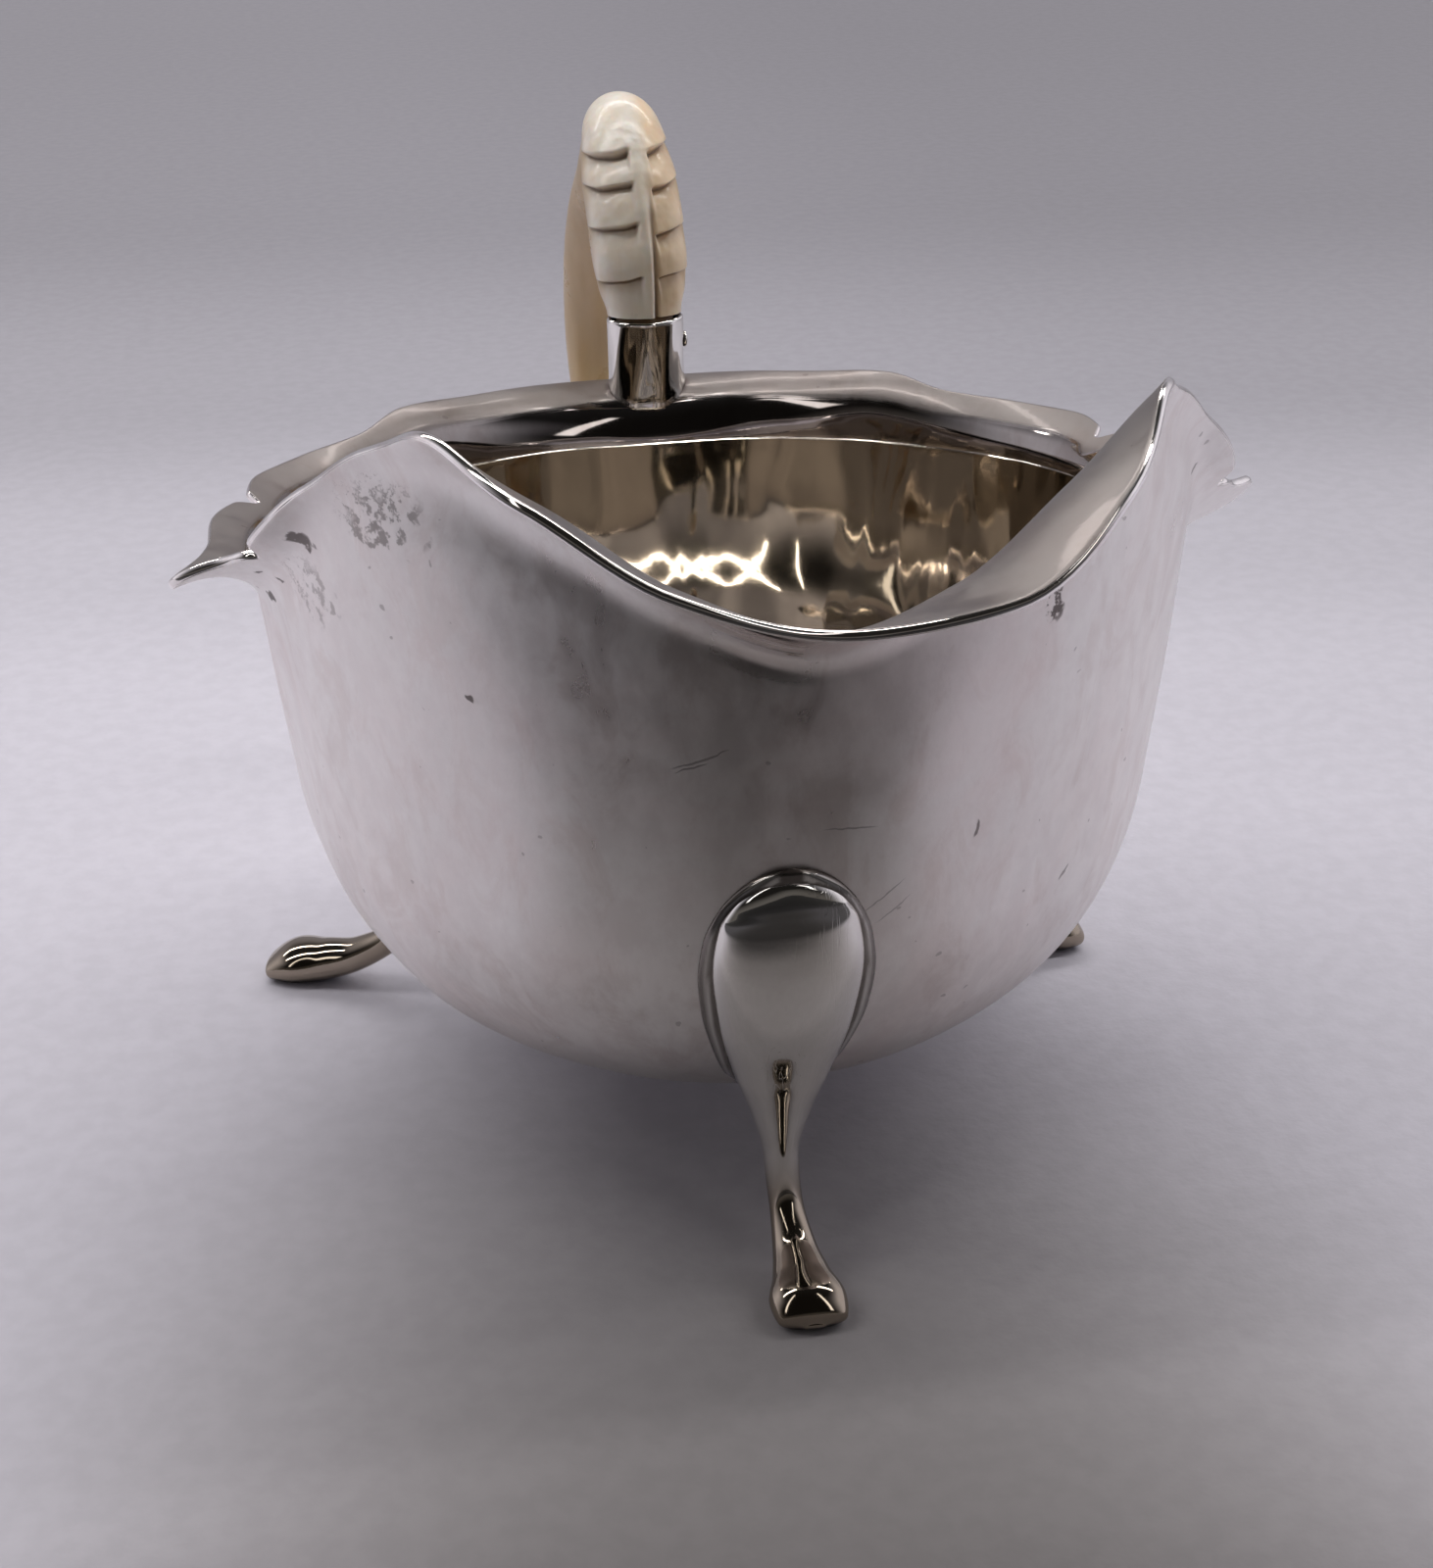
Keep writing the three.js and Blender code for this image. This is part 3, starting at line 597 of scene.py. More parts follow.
def bowl_material():
    """Satin silver outside, worn gilt inside, by the mesh's gilt, gloss, matte-and-shade and outside
    attributes. Painted shade darkens the glossy back roll, the outside near the bottom and the corners.
    """
    material, g = new_material("satin_silver_and_gilt")
    where = g.add("ShaderNodeTexCoord").outputs["Object"]
    cloud = g.noise(where, 45.0, 4.0, 0.6)
    blotch = g.noise(where, 28.0, 5.0, 0.7, 0.4)
    mottle = g.noise(g.stretched(where, (1.0, 1.0, 0.6)), 420.0, 4.0, 0.65)
    fine = g.noise(where, 2500.0, 2.0, 0.6)
    gloss, dull = g.attribute("gloss"), g.attribute("dull")
    satin = g.math("SUBTRACT", 1.0, gloss)
    edge_gilt = g.plus(g.attribute("gilt"), g.ramp(cloud, 0.3, 0.7, -0.2, 0.2))
    gilt = g.ramp(edge_gilt, 0.35, 0.65)

    silver = g.mix(g.ramp(blotch, 0.4, 0.7), SILVER_PALE, SILVER_ROSY)
    silver = g.multiply_color(silver, g.mix(g.ramp(mottle, 0.35, 0.65), SILVER_MOTTLE, WHITE))
    worn = g.ramp(g.noise(g.stretched(where, (1.0, 1.0, 0.5)), 210.0, 5.0, 0.65, 0.6), 0.48, 0.66)
    silver = g.multiply_color(silver, SILVER_WORN, worn)
    # darker where the rim is matte, and painted shade on the glossy back roll
    silver = g.multiply_color(silver, SILVER_DULL_AND_SHADE, dull)
    # painted shade: the outside is darker near the bottom, for the shadowed floor it reflects
    height = g.add("ShaderNodeSeparateXYZ", {0: where}).outputs[2]
    underside = g.ramp(height, *UNDERSIDE_SHADE_HEIGHTS, 1.0, 0.0)
    silver = g.multiply_color(silver, SILVER_UNDERSIDE_SHADE, underside)
    gold = g.mix(g.ramp(blotch, 0.3, 0.7), GILT_LIGHT, GILT_DEEP)
    stain_and_shade = outside_stain_and_shade(g, where)
    color = g.mix(g.times(stain_and_shade, 0.8), g.mix(gilt, silver, gold), STAIN_AND_SHADE_COLOR)

    rough = g.plus(g.ramp(cloud, 0.3, 0.7, 0.36, 0.43), g.ramp(mottle, 0.3, 0.7, -0.04, 0.04))
    rough = g.plus(rough, g.times(worn, -0.08))
    rough = g.plus(rough, g.times(dull, 0.05))
    rough = g.times(rough, g.math("SUBTRACT", 1.0, g.times(gloss, 0.8)))
    rough = g.plus(rough, g.times(stain_and_shade, 0.25))

    swells = g.noise(g.stretched(where, (1.0, 1.0, 0.09)), 120.0, 1.5, 0.4)
    relief = g.plus(g.times(fine, 0.006), g.times(mottle, 0.05))
    relief = g.plus(relief, g.times(cloud, 0.25))
    relief = g.times(relief, g.math("SUBTRACT", 1.0, g.times(gloss, 0.9)))
    relief = g.plus(relief, g.times(swells, g.times(gilt, 0.7)))
    bump = g.bump(relief, 1.0, 0.0005)
    sharp = g.plus(BOWL_SHARP, g.times(gloss, GLOSS_SHARP))
    g.surface(metal_shader(g, color, rough, bump, sharp, g.times(satin, BOWL_HAZE)))
    return material


def bright_material():
    """Polished cast silver with faint scratches, and painted shade where the form is hollow and where
    parts meet.
    """
    material, g = new_material("polished_silver")
    where = g.add("ShaderNodeTexCoord").outputs["Object"]
    cloud = g.noise(where, 90.0, 4.0, 0.6)
    fine = g.noise(where, 1500.0, 2.0, 0.5)
    scratches = scratch_field(g, where, (0.2, 0.9, 0.0), 1400.0, 0.015)
    nook = g.add("ShaderNodeAmbientOcclusion", {"Distance": SMALL_CREASE_SHADE_REACH})
    # painted shade in hollows, by ambient occlusion, and along the plates' seams
    crease_shade = g.largest(g.ramp(nook.outputs["AO"], 0.85, 0.5), g.attribute("grime"))
    color = g.mix(g.ramp(cloud, 0.35, 0.7), CAST_PALE, CAST_GRAY)
    height = g.add("ShaderNodeSeparateXYZ", {0: where}).outputs[2]
    # tarnish and painted shade low on the feet
    color = g.multiply_color(color, FOOT_TARNISH_AND_SHADE, g.ramp(height, *FOOT_HEIGHTS, 1.0, 0.0))
    color = g.mix(g.times(crease_shade, 0.85), color, CREASE_SHADE_COLOR)
    rough = g.plus(g.ramp(cloud, 0.3, 0.7, 0.07, 0.14), g.times(crease_shade, 0.2))
    relief = g.plus(g.times(fine, 0.01), g.times(scratches, -0.02))
    relief = g.plus(relief, g.times(g.noise(where, 160.0, 1.0), 0.04))
    bump = g.bump(relief, 0.6, 0.0003)
    g.surface(metal_shader(g, color, rough, bump, CAST_SHARP))
    return material


def ivory_material():
    """Carved, polished ivory-like bone: honey behind, cream in front, and painted shade that makes the
    cuts honey and dark brown.
    """
    material, g = new_material("carved_ivory")
    where = g.add("ShaderNodeTexCoord").outputs["Object"]
    grain = g.noise(g.stretched(where, (1.0, 1.0, 0.06)), 1500.0, 3.0, 0.6)
    bands = g.noise(g.stretched(where, (1.0, 0.5, 0.1)), 320.0, 2.0)
    cloud = g.noise(where, 160.0, 4.0, 0.6)
    carve, front = g.attribute("carve"), g.attribute("front")
    plain = g.mix(g.ramp(bands, 0.3, 0.7), PLAIN_IVORY, PLAIN_IVORY_BAND)
    cream = g.mix(g.ramp(cloud, 0.35, 0.7), CREAM_IVORY, CREAM_IVORY_CLOUD)
    side = g.add("ShaderNodeSeparateXYZ", {0: where}).outputs[0]
    middle = HANDLE_X + AXIS_X
    warm = g.ramp(side, middle * MM, (middle + WARM_SIDE_WIDTH) * MM)
    cream = g.multiply_color(cream, WARM_SIDE, warm)
    # painted shade in creases and near the sockets, by ambient occlusion
    nook = g.add("ShaderNodeAmbientOcclusion", {"Distance": SMALL_CREASE_SHADE_REACH})
    carve = g.largest(carve, g.ramp(nook.outputs["AO"], 0.7, 0.3))
    color = g.mix(g.times(carve, 0.85), g.mix(front, plain, cream), IVORY_CUT_SHADE)
    color = g.multiply_color(color, g.mix(grain, IVORY_GRAIN, WHITE))
    rough = g.plus(g.ramp(cloud, 0.3, 0.7, 0.26, 0.38), g.times(carve, 0.2))
    facets = g.noise(where, 330.0, 2.0)
    relief = g.plus(g.times(grain, 0.04), g.times(cloud, 0.10))
    relief = g.plus(relief, g.times(facets, g.times(front, 0.8)))
    bump = g.bump(relief, 0.8, 0.0006)
    shader = g.add("ShaderNodeBsdfPrincipled", {
        "Base Color": color, "Roughness": rough, "Normal": bump,
        "Subsurface Weight": 0.25, "Subsurface Radius": (0.6, 0.35, 0.2),
        "Subsurface Scale": 0.002, "Coat Weight": 0.35, "Coat Roughness": 0.16})
    g.surface(shader.outputs[0])
    return material


# ---- bowl ----

CORNER_RINGS, WALL_RINGS, RIM_RINGS = 46, 18, 34


def bowl_shares():
    """Places of the sheet's rings, from the bottom to the cut edge."""
    corner = np.linspace(0, CORNER_SHARE, CORNER_RINGS)[1:]
    wall = np.linspace(CORNER_SHARE, TURN, WALL_RINGS)[1:]
    rim = np.linspace(TURN, EDGE, RIM_RINGS)[1:]
    return np.concatenate([corner, wall, rim])


EDGE_TURNS = (30, 60, 90, 120, 150)
EDGE_BULGE = 0.3        # of the sheet's thickness


def edge_rings(angles):
    """The rounded cut edge between the outside and the inside of the sheet."""
    full = np.full_like(angles, EDGE)
    outer = sheet_point(angles, full)
    normal = sheet_normal(angles, full)
    outwards = unit(outer - sheet_point(angles, full - 0.01))
    middle = outer - normal * SHEET / 2
    rings = []
    for turn in np.radians(EDGE_TURNS):
        side = normal * (math.cos(turn) * SHEET / 2)
        rings.append(middle + side + outwards * (math.sin(turn) * SHEET * EDGE_BULGE))
    return rings


# meridians on each arc of the rim's outline
ARC_STEPS = [46, 46, 22, 54, 50, 40]
LIP_GLOSS, EDGE_GLOSS, ROLL_SHADE = 0.85, 0.9, 0.92
LIP_GLOSS_ANGLE, LIP_GLOSS_SPREAD = -6.0, 5.0
BACK_ANGLES = (55, 85)  # the rim's front finish turns into its back finish between these


def bowl_piece(material):
    """The bowl: up its outside, over its cut edge and down its inside, with its finishes and the painted
    shade of its back roll.
    """
    angles = meridian_angles(ARC_STEPS)
    shares = bowl_shares()
    flat = np.zeros_like(angles)
    lip = LIP_GLOSS * bell(angles, LIP_GLOSS_ANGLE, LIP_GLOSS_SPREAD)
    back = smoothstep(*BACK_ANGLES, np.abs(angles))
    rings = []
    finishes = {"gilt": [], "gloss": [], "outside": [], "dull": []}

    def add_ring(ring, gilt, gloss, outside, dull):
        rings.append(ring)
        for values, value in zip(finishes.values(), (gilt, gloss, outside, dull)):
            values.append(flat + value)

    for share in shares:
        lip_gloss = lip * smoothstep(0.98, 1.05, share)
        add_ring(sheet_point(angles, flat + share), 0.0, lip_gloss, 1.0, 0.0)
    for ring in edge_rings(angles):
        add_ring(ring, 0.0, EDGE_GLOSS, 0.0, 0.0)
    for share in shares[::-1]:
        gilt = 1 - smoothstep(0.88 + 0.10 * back, 0.95 + 0.11 * back, share)
        matte = smoothstep(0.93 + 0.55 * back, 1.00 + 0.58 * back, share)
        # the back roll stays glossy but its colour is darkened: painted shade for the dark room it
        # reflects
        roll = ROLL_SHADE * back * smoothstep(1.02, 1.07, share)
        ring = sheet_point(angles, flat + share, -SHEET)
        add_ring(ring, gilt, 1 - matte, 0.0, np.maximum(matte, roll))
    attributes = {name: np.concatenate(values) for name, values in finishes.items()}
    return body_from_rings("bowl_sheet", np.array(rings), attributes, material)


# ---- legs ----

def turned(points, angle):
    """Points of a leg's own plane, where -Y points outwards, turned about the axis."""
    a = math.radians(angle)
    x, y, z = points[..., 0], points[..., 1], points[..., 2]
    return np.stack([x * math.cos(a) - y * math.sin(a), x * math.sin(a) + y * math.cos(a), z], -1)


def out_of_bowl(points, depth):
    """Moves points that lie deep in the bowl out to a small depth below its outside."""
    x, y, z = points[..., 0], points[..., 1], points[..., 2]
    here = np.hypot(x, y / LENGTH_TO_WIDTH)
    wall = wall_half_width(z) - depth
    pull = np.where((here < wall) & (z > BOTTOM_HEIGHT), wall / np.maximum(here, 1e-6), 1.0)
    return np.stack([x * pull, y * pull, z], -1)


def leg_piece(name, material):
    """A cast leg: ovals along its spine, flat on the floor and closed against the bowl."""
    angle, inset, splay, power, toe_shift = LEG_PLACES[name]
    spine = LEG_SPINE.copy()
    low = np.clip((SPLAY_START - spine[:, 1]) / SPLAY_START, 0, 1)
    spine[:, 0] += inset + (splay - inset) * low ** power
    aside = toe_shift * low ** TOE_POWER
    rows = np.column_stack([aside, -spine[:, 0], spine[:, 1]])
    t = np.linspace(0, 1, LEG_RINGS)
    centre = spline(rows, t)
    stations = np.linspace(0, 1, len(spine))
    wide = smooth_curve(stations, spine[:, 2])(t)
    thick = smooth_curve(stations, spine[:, 3])(t)
    tangent = unit(np.gradient(centre, axis=0))
    across = np.tile((1.0, 0.0, 0.0), (len(t), 1))
    normal = unit(np.cross(tangent, across))
    phase = np.linspace(0, 2 * np.pi, LEG_SIDES, endpoint=False)
    ring = centre[:, None] + across[:, None] * (wide[:, None] * np.cos(phase))[..., None]
    ring = ring + normal[:, None] * (thick[:, None] * np.sin(phase))[..., None]
    ring[..., 2] = np.maximum(ring[..., 2], 0.0)
    ring = out_of_bowl(turned(ring, angle), LEG_SINK)
    return stands_for(body_from_rings(name + "_casting", ring, None, material), name)


def plate_piece(name, material):
    """The thin plate that is soldered to the wall under a leg's domed top."""
    polar = math.radians(LEG_PLACES[name][0])
    middle = math.degrees(math.atan2(LENGTH_TO_WIDTH * math.sin(polar), math.cos(polar)))
    heights = PLATE_OUTLINE[0, 0] + (PLATE_OUTLINE[-1, 0] - PLATE_OUTLINE[0, 0]) * (
        0.5 - 0.5 * np.cos(np.linspace(0, np.pi, PLATE_ROWS)))
    half = smooth_curve(PLATE_OUTLINE[:, 0], PLATE_OUTLINE[:, 1])(heights)
    front = np.sin(np.linspace(-np.pi / 2, np.pi / 2, PLATE_COLUMNS))
    shaft = LEG_SPINE[:SHAFT_ROWS][::-1]
    dome = np.interp(heights, shaft[:, 1], shaft[:, 2])
    rings, grime = [], []
    for height, width, inner in zip(heights, half, dome):
        lift = PLATE_THICK * (1 - np.abs(front) ** PLATE_EDGE_POWER) ** 0.5
        lift = lift * min(1.0, width / PLATE_THIN_WIDTH)
        upper = plate_row(middle, height, front * width, lift)
        sunk = np.full(PLATE_COLUMNS, -PLATE_SINK)
        lower = plate_row(middle, height, front[::-1] * width, sunk)
        rings.append(np.vstack([upper, lower[1:-1]]))
        # painted shade on the plate next to the dome and along its outer edge, where the parts meet
        groove = 1 - smoothstep(0.15, 0.6, np.abs(front) * width - inner)
        grime.append(np.maximum(groove, smoothstep(0.87, 0.97, np.abs(front))))
        grime.append(np.ones(PLATE_COLUMNS - 2))
    attributes = {"grime": np.concatenate(grime)}
    piece = body_from_rings(name + "_plate", np.array(rings), attributes, material)
    return stands_for(piece, None)


def plate_row(middle, height, aside, lift):
    """Points across the wall at a height, aside from the middle angle and lifted off the wall."""
    half_width = float(wall_half_width(np.array(height)))
    m = math.radians(middle)
    per_radian = math.hypot(half_width * math.cos(m), LENGTH_TO_WIDTH * half_width * math.sin(m))
    angle = middle + np.degrees(aside / per_radian)
    step = 0.05
    here = plan_point(angle, wall_half_width(np.full_like(angle, height)), 0, height)
    above = plan_point(angle, wall_half_width(np.full_like(angle, height + step)), 0, height + step)
    beside = plan_point(angle + step, half_width, 0, height)
    normal = unit(np.cross(beside - here, above - here))
    return here + normal * lift[:, None]


# ---- handle, sockets and pins ----

# heights of the cuts on the leaf's face at its middle, left and right of its rib, how much
# they climb to the right, and over which part of the half width they fade in
LEFT_CUTS = (65.3, 70.7, 74.6, 77.4)
RIGHT_CUTS = (64.9, 69.35, 73.7, 77.0)
CUT_SIDES = ((LEFT_CUTS, 1.0, -0.02, -0.14), (RIGHT_CUTS, 0.25, 0.30, 0.42))
CUT_DEPTH = 1.0
CUT_LIP = 0.2           # width of a cut's steep upper side
CUT_RUN = 1.3           # length over which the face comes up again below a cut
DARK_WIDTH = 0.2        # of the honey-coloured line of painted shade in a cut
RIB_DEPTH, CREST_HEIGHT, STEP_DEPTH = 0.75, 0.14, 0.22
RIB_SIDE = 0.25         # the rib's groove lies right of the middle
LEAF_END = 79.2         # height of the smooth tip
LEAF_BACK = (55.0, 58.0)    # the carving fades out over this part of y
LEAF_LOW = (70.5, 75.5)     # and its rib over these heights
CREAM_BACK = (56.0, 66.0)   # the cream colour turns into the plain one over this part of y


def carving(point, side, front):
    """Depth of the carved leaf below the grip's skin, and a mask of painted shade in its cuts and its
    rib's groove.
    """
    height = point[..., 2]
    leaf = front * (1 - smoothstep(LEAF_END - 1.6, LEAF_END, height))
    leaf = leaf * (1 - smoothstep(*LEAF_BACK, point[..., 1]))
    low = 1 - smoothstep(*LEAF_LOW, height)
    rib = bell(side, RIB_SIDE, 0.07) * low * (0.45 + 0.55 * (1 - smoothstep(62.0, 74.0, height)))
    crest = bell(side, RIB_SIDE - 0.17, 0.09) * low
    step = smoothstep(RIB_SIDE - 0.05, RIB_SIDE + 0.05, side) * (1 - smoothstep(0.45, 0.95, side))
    cuts, dark = np.zeros_like(height), np.zeros_like(height)
    for places, climb, start, full in CUT_SIDES:
        reach = smoothstep(start, full, side) if full > start else 1 - smoothstep(full, start, side)
        for place in places:
            line = height - place - climb * side - 0.04 * np.sin(9.0 * side + place)
            profile = np.where(line > 0, bell(line, 0, CUT_LIP), np.exp(np.minimum(line, 0) / CUT_RUN))
            cuts = np.maximum(cuts, reach * profile)
            dark = np.maximum(dark, reach * bell(line, -0.02, DARK_WIDTH))
    depth = leaf * (RIB_DEPTH * rib + CUT_DEPTH * cuts + STEP_DEPTH * step * low - CREST_HEIGHT * crest)
    return depth, leaf * np.maximum(np.maximum(rib, dark), 0.35 * cuts)


def handle_rows():
    """Stations (x, y, z, half width, half thickness) from shoulder to shoulder."""
    first = (*(UPPER_MOUTH - SHOULDER_GAP * UPPER_DOWN), *SHOULDER)
    last = (*(LOWER_MOUTH - SHOULDER_GAP * LOWER_DOWN), *SHOULDER)
    return np.array([first] + [(HANDLE_X + row[0], *row[1:]) for row in GRIP_LINE] + [last])


def tenon_rings(mouth, down, phase, order):
    """Two rings of a tenon in a bore; order is -1 where the grip runs down the bore."""
    thick_way = np.cross(down, (1.0, 0.0, 0.0)) * order
    oval = np.outer(np.cos(phase) * TENON[0], (1.0, 0.0, 0.0))
    oval = oval + np.outer(np.sin(phase) * TENON[1], thick_way)
    return [mouth + down * depth + oval for depth in (TENON_LENGTH, -SHOULDER_GAP)][::order]


LEAF_PART = 0.4         # share of the handle's length that is carved, with finer rings
LEAF_RINGS, PLAIN_RINGS, HANDLE_SIDES = 480, 300, 200


def handle_piece(material):
    """The loop handle with its carved front, from tenon to tenon."""
    rows = handle_rows()
    t = np.concatenate([np.linspace(0, LEAF_PART, LEAF_RINGS, endpoint=False),
                        np.linspace(LEAF_PART, 1, PLAIN_RINGS)])
    centre = spline(rows[:, :3], t)
    stations = np.linspace(0, 1, len(rows))
    wide = smooth_curve(stations, rows[:, 3])(t)
    thick = smooth_curve(stations, rows[:, 4])(t)
    across = np.tile((1.0, 0.0, 0.0), (len(t), 1))
    inwards = unit(np.cross(unit(np.gradient(centre, axis=0)), across))
    phase = np.linspace(0, 2 * np.pi, HANDLE_SIDES, endpoint=False)
    side = np.repeat(np.cos(phase)[None], len(t), 0)
    front = smoothstep(-0.15, 0.35, np.repeat(-np.sin(phase)[None], len(t), 0))
    ring = centre[:, None] + across[:, None] * (wide[:, None] * side)[..., None]
    ring = ring + inwards[:, None] * (thick[:, None] * np.sin(phase))[..., None]
    depth, mask = carving(ring, side, front)
    ring = ring - unit(ring - centre[:, None]) * depth[..., None]
    leaf = front * (1 - smoothstep(*CREAM_BACK, ring[..., 1]))
    upper = tenon_rings(UPPER_MOUTH, UPPER_DOWN, phase, 1)
    lower = tenon_rings(LOWER_MOUTH, LOWER_DOWN, phase, -1)
    blank = np.zeros(2 * len(phase))
    attributes = {
        "carve": np.concatenate([blank, mask.ravel(), blank]),
        "front": np.concatenate([blank, leaf.ravel(), blank]),
    }
    rings = np.concatenate([upper, ring, lower])
    piece = body_from_rings("handle_carving", rings, attributes, material)
    return stands_for(piece, "handle")


SOCKET_SIDES, SOCKET_ROWS = 96, 30
FLARE, FLARE_SHARE = 0.15, 0.07     # the sleeve's foot spreads a little onto the bowl
MOUTH_TURNS = (30, 60, 90, 120, 150, 180)
MOUTH_ROUND = 0.25
DENT_TURN = 2.5         # the sleeve's faint dents wind round it by this many radians
SOCKET_SINK = 0.15
BORE_DEPTH = 2.5
UPPER_LONGEST, LOWER_LONGEST = 9.2, 16.0


def socket_piece(name, node, mouth, down, bowl_tree, material):
    """An oval sleeve from the bowl's surface to its rounded mouth and down its bore."""
    phase = np.linspace(0, 2 * np.pi, SOCKET_SIDES, endpoint=False)
    side = np.cross(down, (1.0, 0.0, 0.0))
    rows = []

    def ring_at(extra, distance, turn=0.0):
        dents = 0.05 * np.sin(5 * phase + turn) + 0.04 * np.sin(9 * phase - 2 * turn)
        extra = extra + dents
        offset = np.outer(np.cos(phase) * (SOCKET_HALF[0] + extra), (1.0, 0.0, 0.0))
        offset = offset + np.outer(np.sin(phase) * (SOCKET_HALF[1] + extra), side)
        distance = np.broadcast_to(distance, phase.shape)
        return mouth + offset + np.outer(distance, down)

    length = np.array([socket_depth(p, down, bowl_tree) for p in ring_at(MOUTH_ROUND, 0.0)])
    for share in np.linspace(0, 1, SOCKET_ROWS):
        flare = FLARE * math.exp(-((share / FLARE_SHARE) ** 2))
        distance = (length + SOCKET_SINK) * (1 - share) + MOUTH_ROUND * share
        rows.append(ring_at(flare, distance, DENT_TURN * (1 - share)))
    wall = SOCKET_HALF[0] - BORE_HALF[0]
    for turn in np.radians(MOUTH_TURNS):
        extra = -wall / 2 + wall / 2 * math.cos(turn)
        rows.append(ring_at(extra, MOUTH_ROUND - MOUTH_ROUND * math.sin(turn)))
    rows.append(ring_at(-wall, BORE_DEPTH))
    piece = body_from_rings(name, np.array(rows), None, material)
    return stands_for(piece, node)


def socket_depth(point, down, bowl_tree):
    """Distance from a point at a socket's mouth down to the bowl, or the longest allowed."""
    start = Vector(placed(point))
    hit = bowl_tree.ray_cast(start, Vector(down))
    upright = abs(down[2]) > 0.9
    limit = UPPER_LONGEST if upright else LOWER_LONGEST
    return min(hit[3] / MM, limit) if hit[0] else limit


# distance along the pin and radius, from inside the socket's wall to the head's crown
PIN_PROFILE = [(0.0, 0.5), (0.45, 0.5), (0.5, 0.78), (0.7, 0.84), (0.85, 0.78), (0.97, 0.52), (1.02, 0.2)]
PIN_SINK, PIN_SIDES = 0.5, 32


def pin_piece(name, node, mouth, down, material):
    """A pin with a domed, slightly uneven head on the right-hand side of a socket."""
    centre = mouth + down * PIN_DROP
    start = SOCKET_HALF[0] - PIN_SINK
    phase = np.linspace(0, 2 * np.pi, PIN_SIDES, endpoint=False)
    rows = []
    for along, radius in PIN_PROFILE:
        uneven = radius * (1 + 0.05 * np.sin(2 * phase + 0.5))
        ring = np.column_stack([np.full_like(phase, start + along), uneven * np.cos(phase),
                                uneven * np.sin(phase)])
        rows.append(centre + ring)
    piece = body_from_rings(name, np.array(rows), None, material)
    return stands_for(piece, node)


# ---- assembly ----

silver = bowl_material()
bright = bright_material()
ivory = ivory_material()

bowl = stands_for(bowl_piece(silver), "bowl")
vertices = [v.co.copy() for v in bowl.data.vertices]
polygons = [tuple(p.vertices) for p in bowl.data.polygons]
bowl_tree = BVHTree.FromPolygons(vertices, polygons)

for leg_name in LEG_PLACES:
    leg_piece(leg_name, bright)
    plate_piece(leg_name, bright)
handle_piece(ivory)
socket_piece("upper_socket_sleeve", "upper_handle_socket", UPPER_MOUTH, UPPER_DOWN, bowl_tree, bright)
socket_piece("lower_socket_sleeve", "lower_handle_socket", LOWER_MOUTH, LOWER_DOWN, bowl_tree, bright)
pin_piece("upper_pin_head", "upper_handle_pin", UPPER_MOUTH, UPPER_DOWN, bright)
pin_piece("lower_pin_head", "lower_handle_pin", LOWER_MOUTH, LOWER_DOWN, bright)


# ---- floor, light and camera ----

# Painted light and shade of the floor by distance behind the frame's origin, in metres along the view.
# Below the view's lower edge it is painted dark, as the room is in the reflections of the bowl.
FLOOR_TONES = [(-0.30, 0.004), (-0.23, 0.01), (-0.175, 0.06), (-0.115, 0.06), (-0.094, 0.48),
               (-0.08, 0.56), (-0.03, 0.57), (0.03, 0.63), (0.07, 0.62), (0.12, 0.54),
               (0.20, 0.39), (0.34, 0.29), (0.60, 0.27)]
FLOOR_GREEN, FLOOR_BLUE = 0.98, 1.10
FLOOR_SIZE = 3.0
VIEW_WAY = (0.172, 0.985, 0.0)
# the soft shadow in front of the bowl, a dark and warm ellipse
SHADOW_X, SHADOW_Y = -0.006, -0.13
SHADOW_HALF_WIDTH, SHADOW_HALF_LENGTH = 0.069, 0.125
SHADOW_INNER, SHADOW_OUTER = 0.3, 1.2
SHADOW_TONE, SHADOW_GREEN, SHADOW_BLUE = 0.36, 0.965, 0.87


def floor_ramp(g, where):
    """The floor's colour, with its painted light and shade, by distance along the view."""
    ramp = g.add("ShaderNodeValToRGB")
    start, end = FLOOR_TONES[0][0], FLOOR_TONES[-1][0]
    stops = ramp.color_ramp.elements
    while len(stops) < len(FLOOR_TONES):
        stops.new(0.5)
    for stop, (place, tone) in zip(stops, FLOOR_TONES):
        stop.position = (place - start) / (end - start)
        stop.color = (tone, tone * FLOOR_GREEN, tone * FLOOR_BLUE, 1.0)
    ramp.color_ramp.interpolation = "EASE"
    distance = g.vector("DOT_PRODUCT", where, VIEW_WAY)
    g.put(ramp.inputs[0], g.ramp(distance, start, end, smooth=False))
    return ramp.outputs[0]


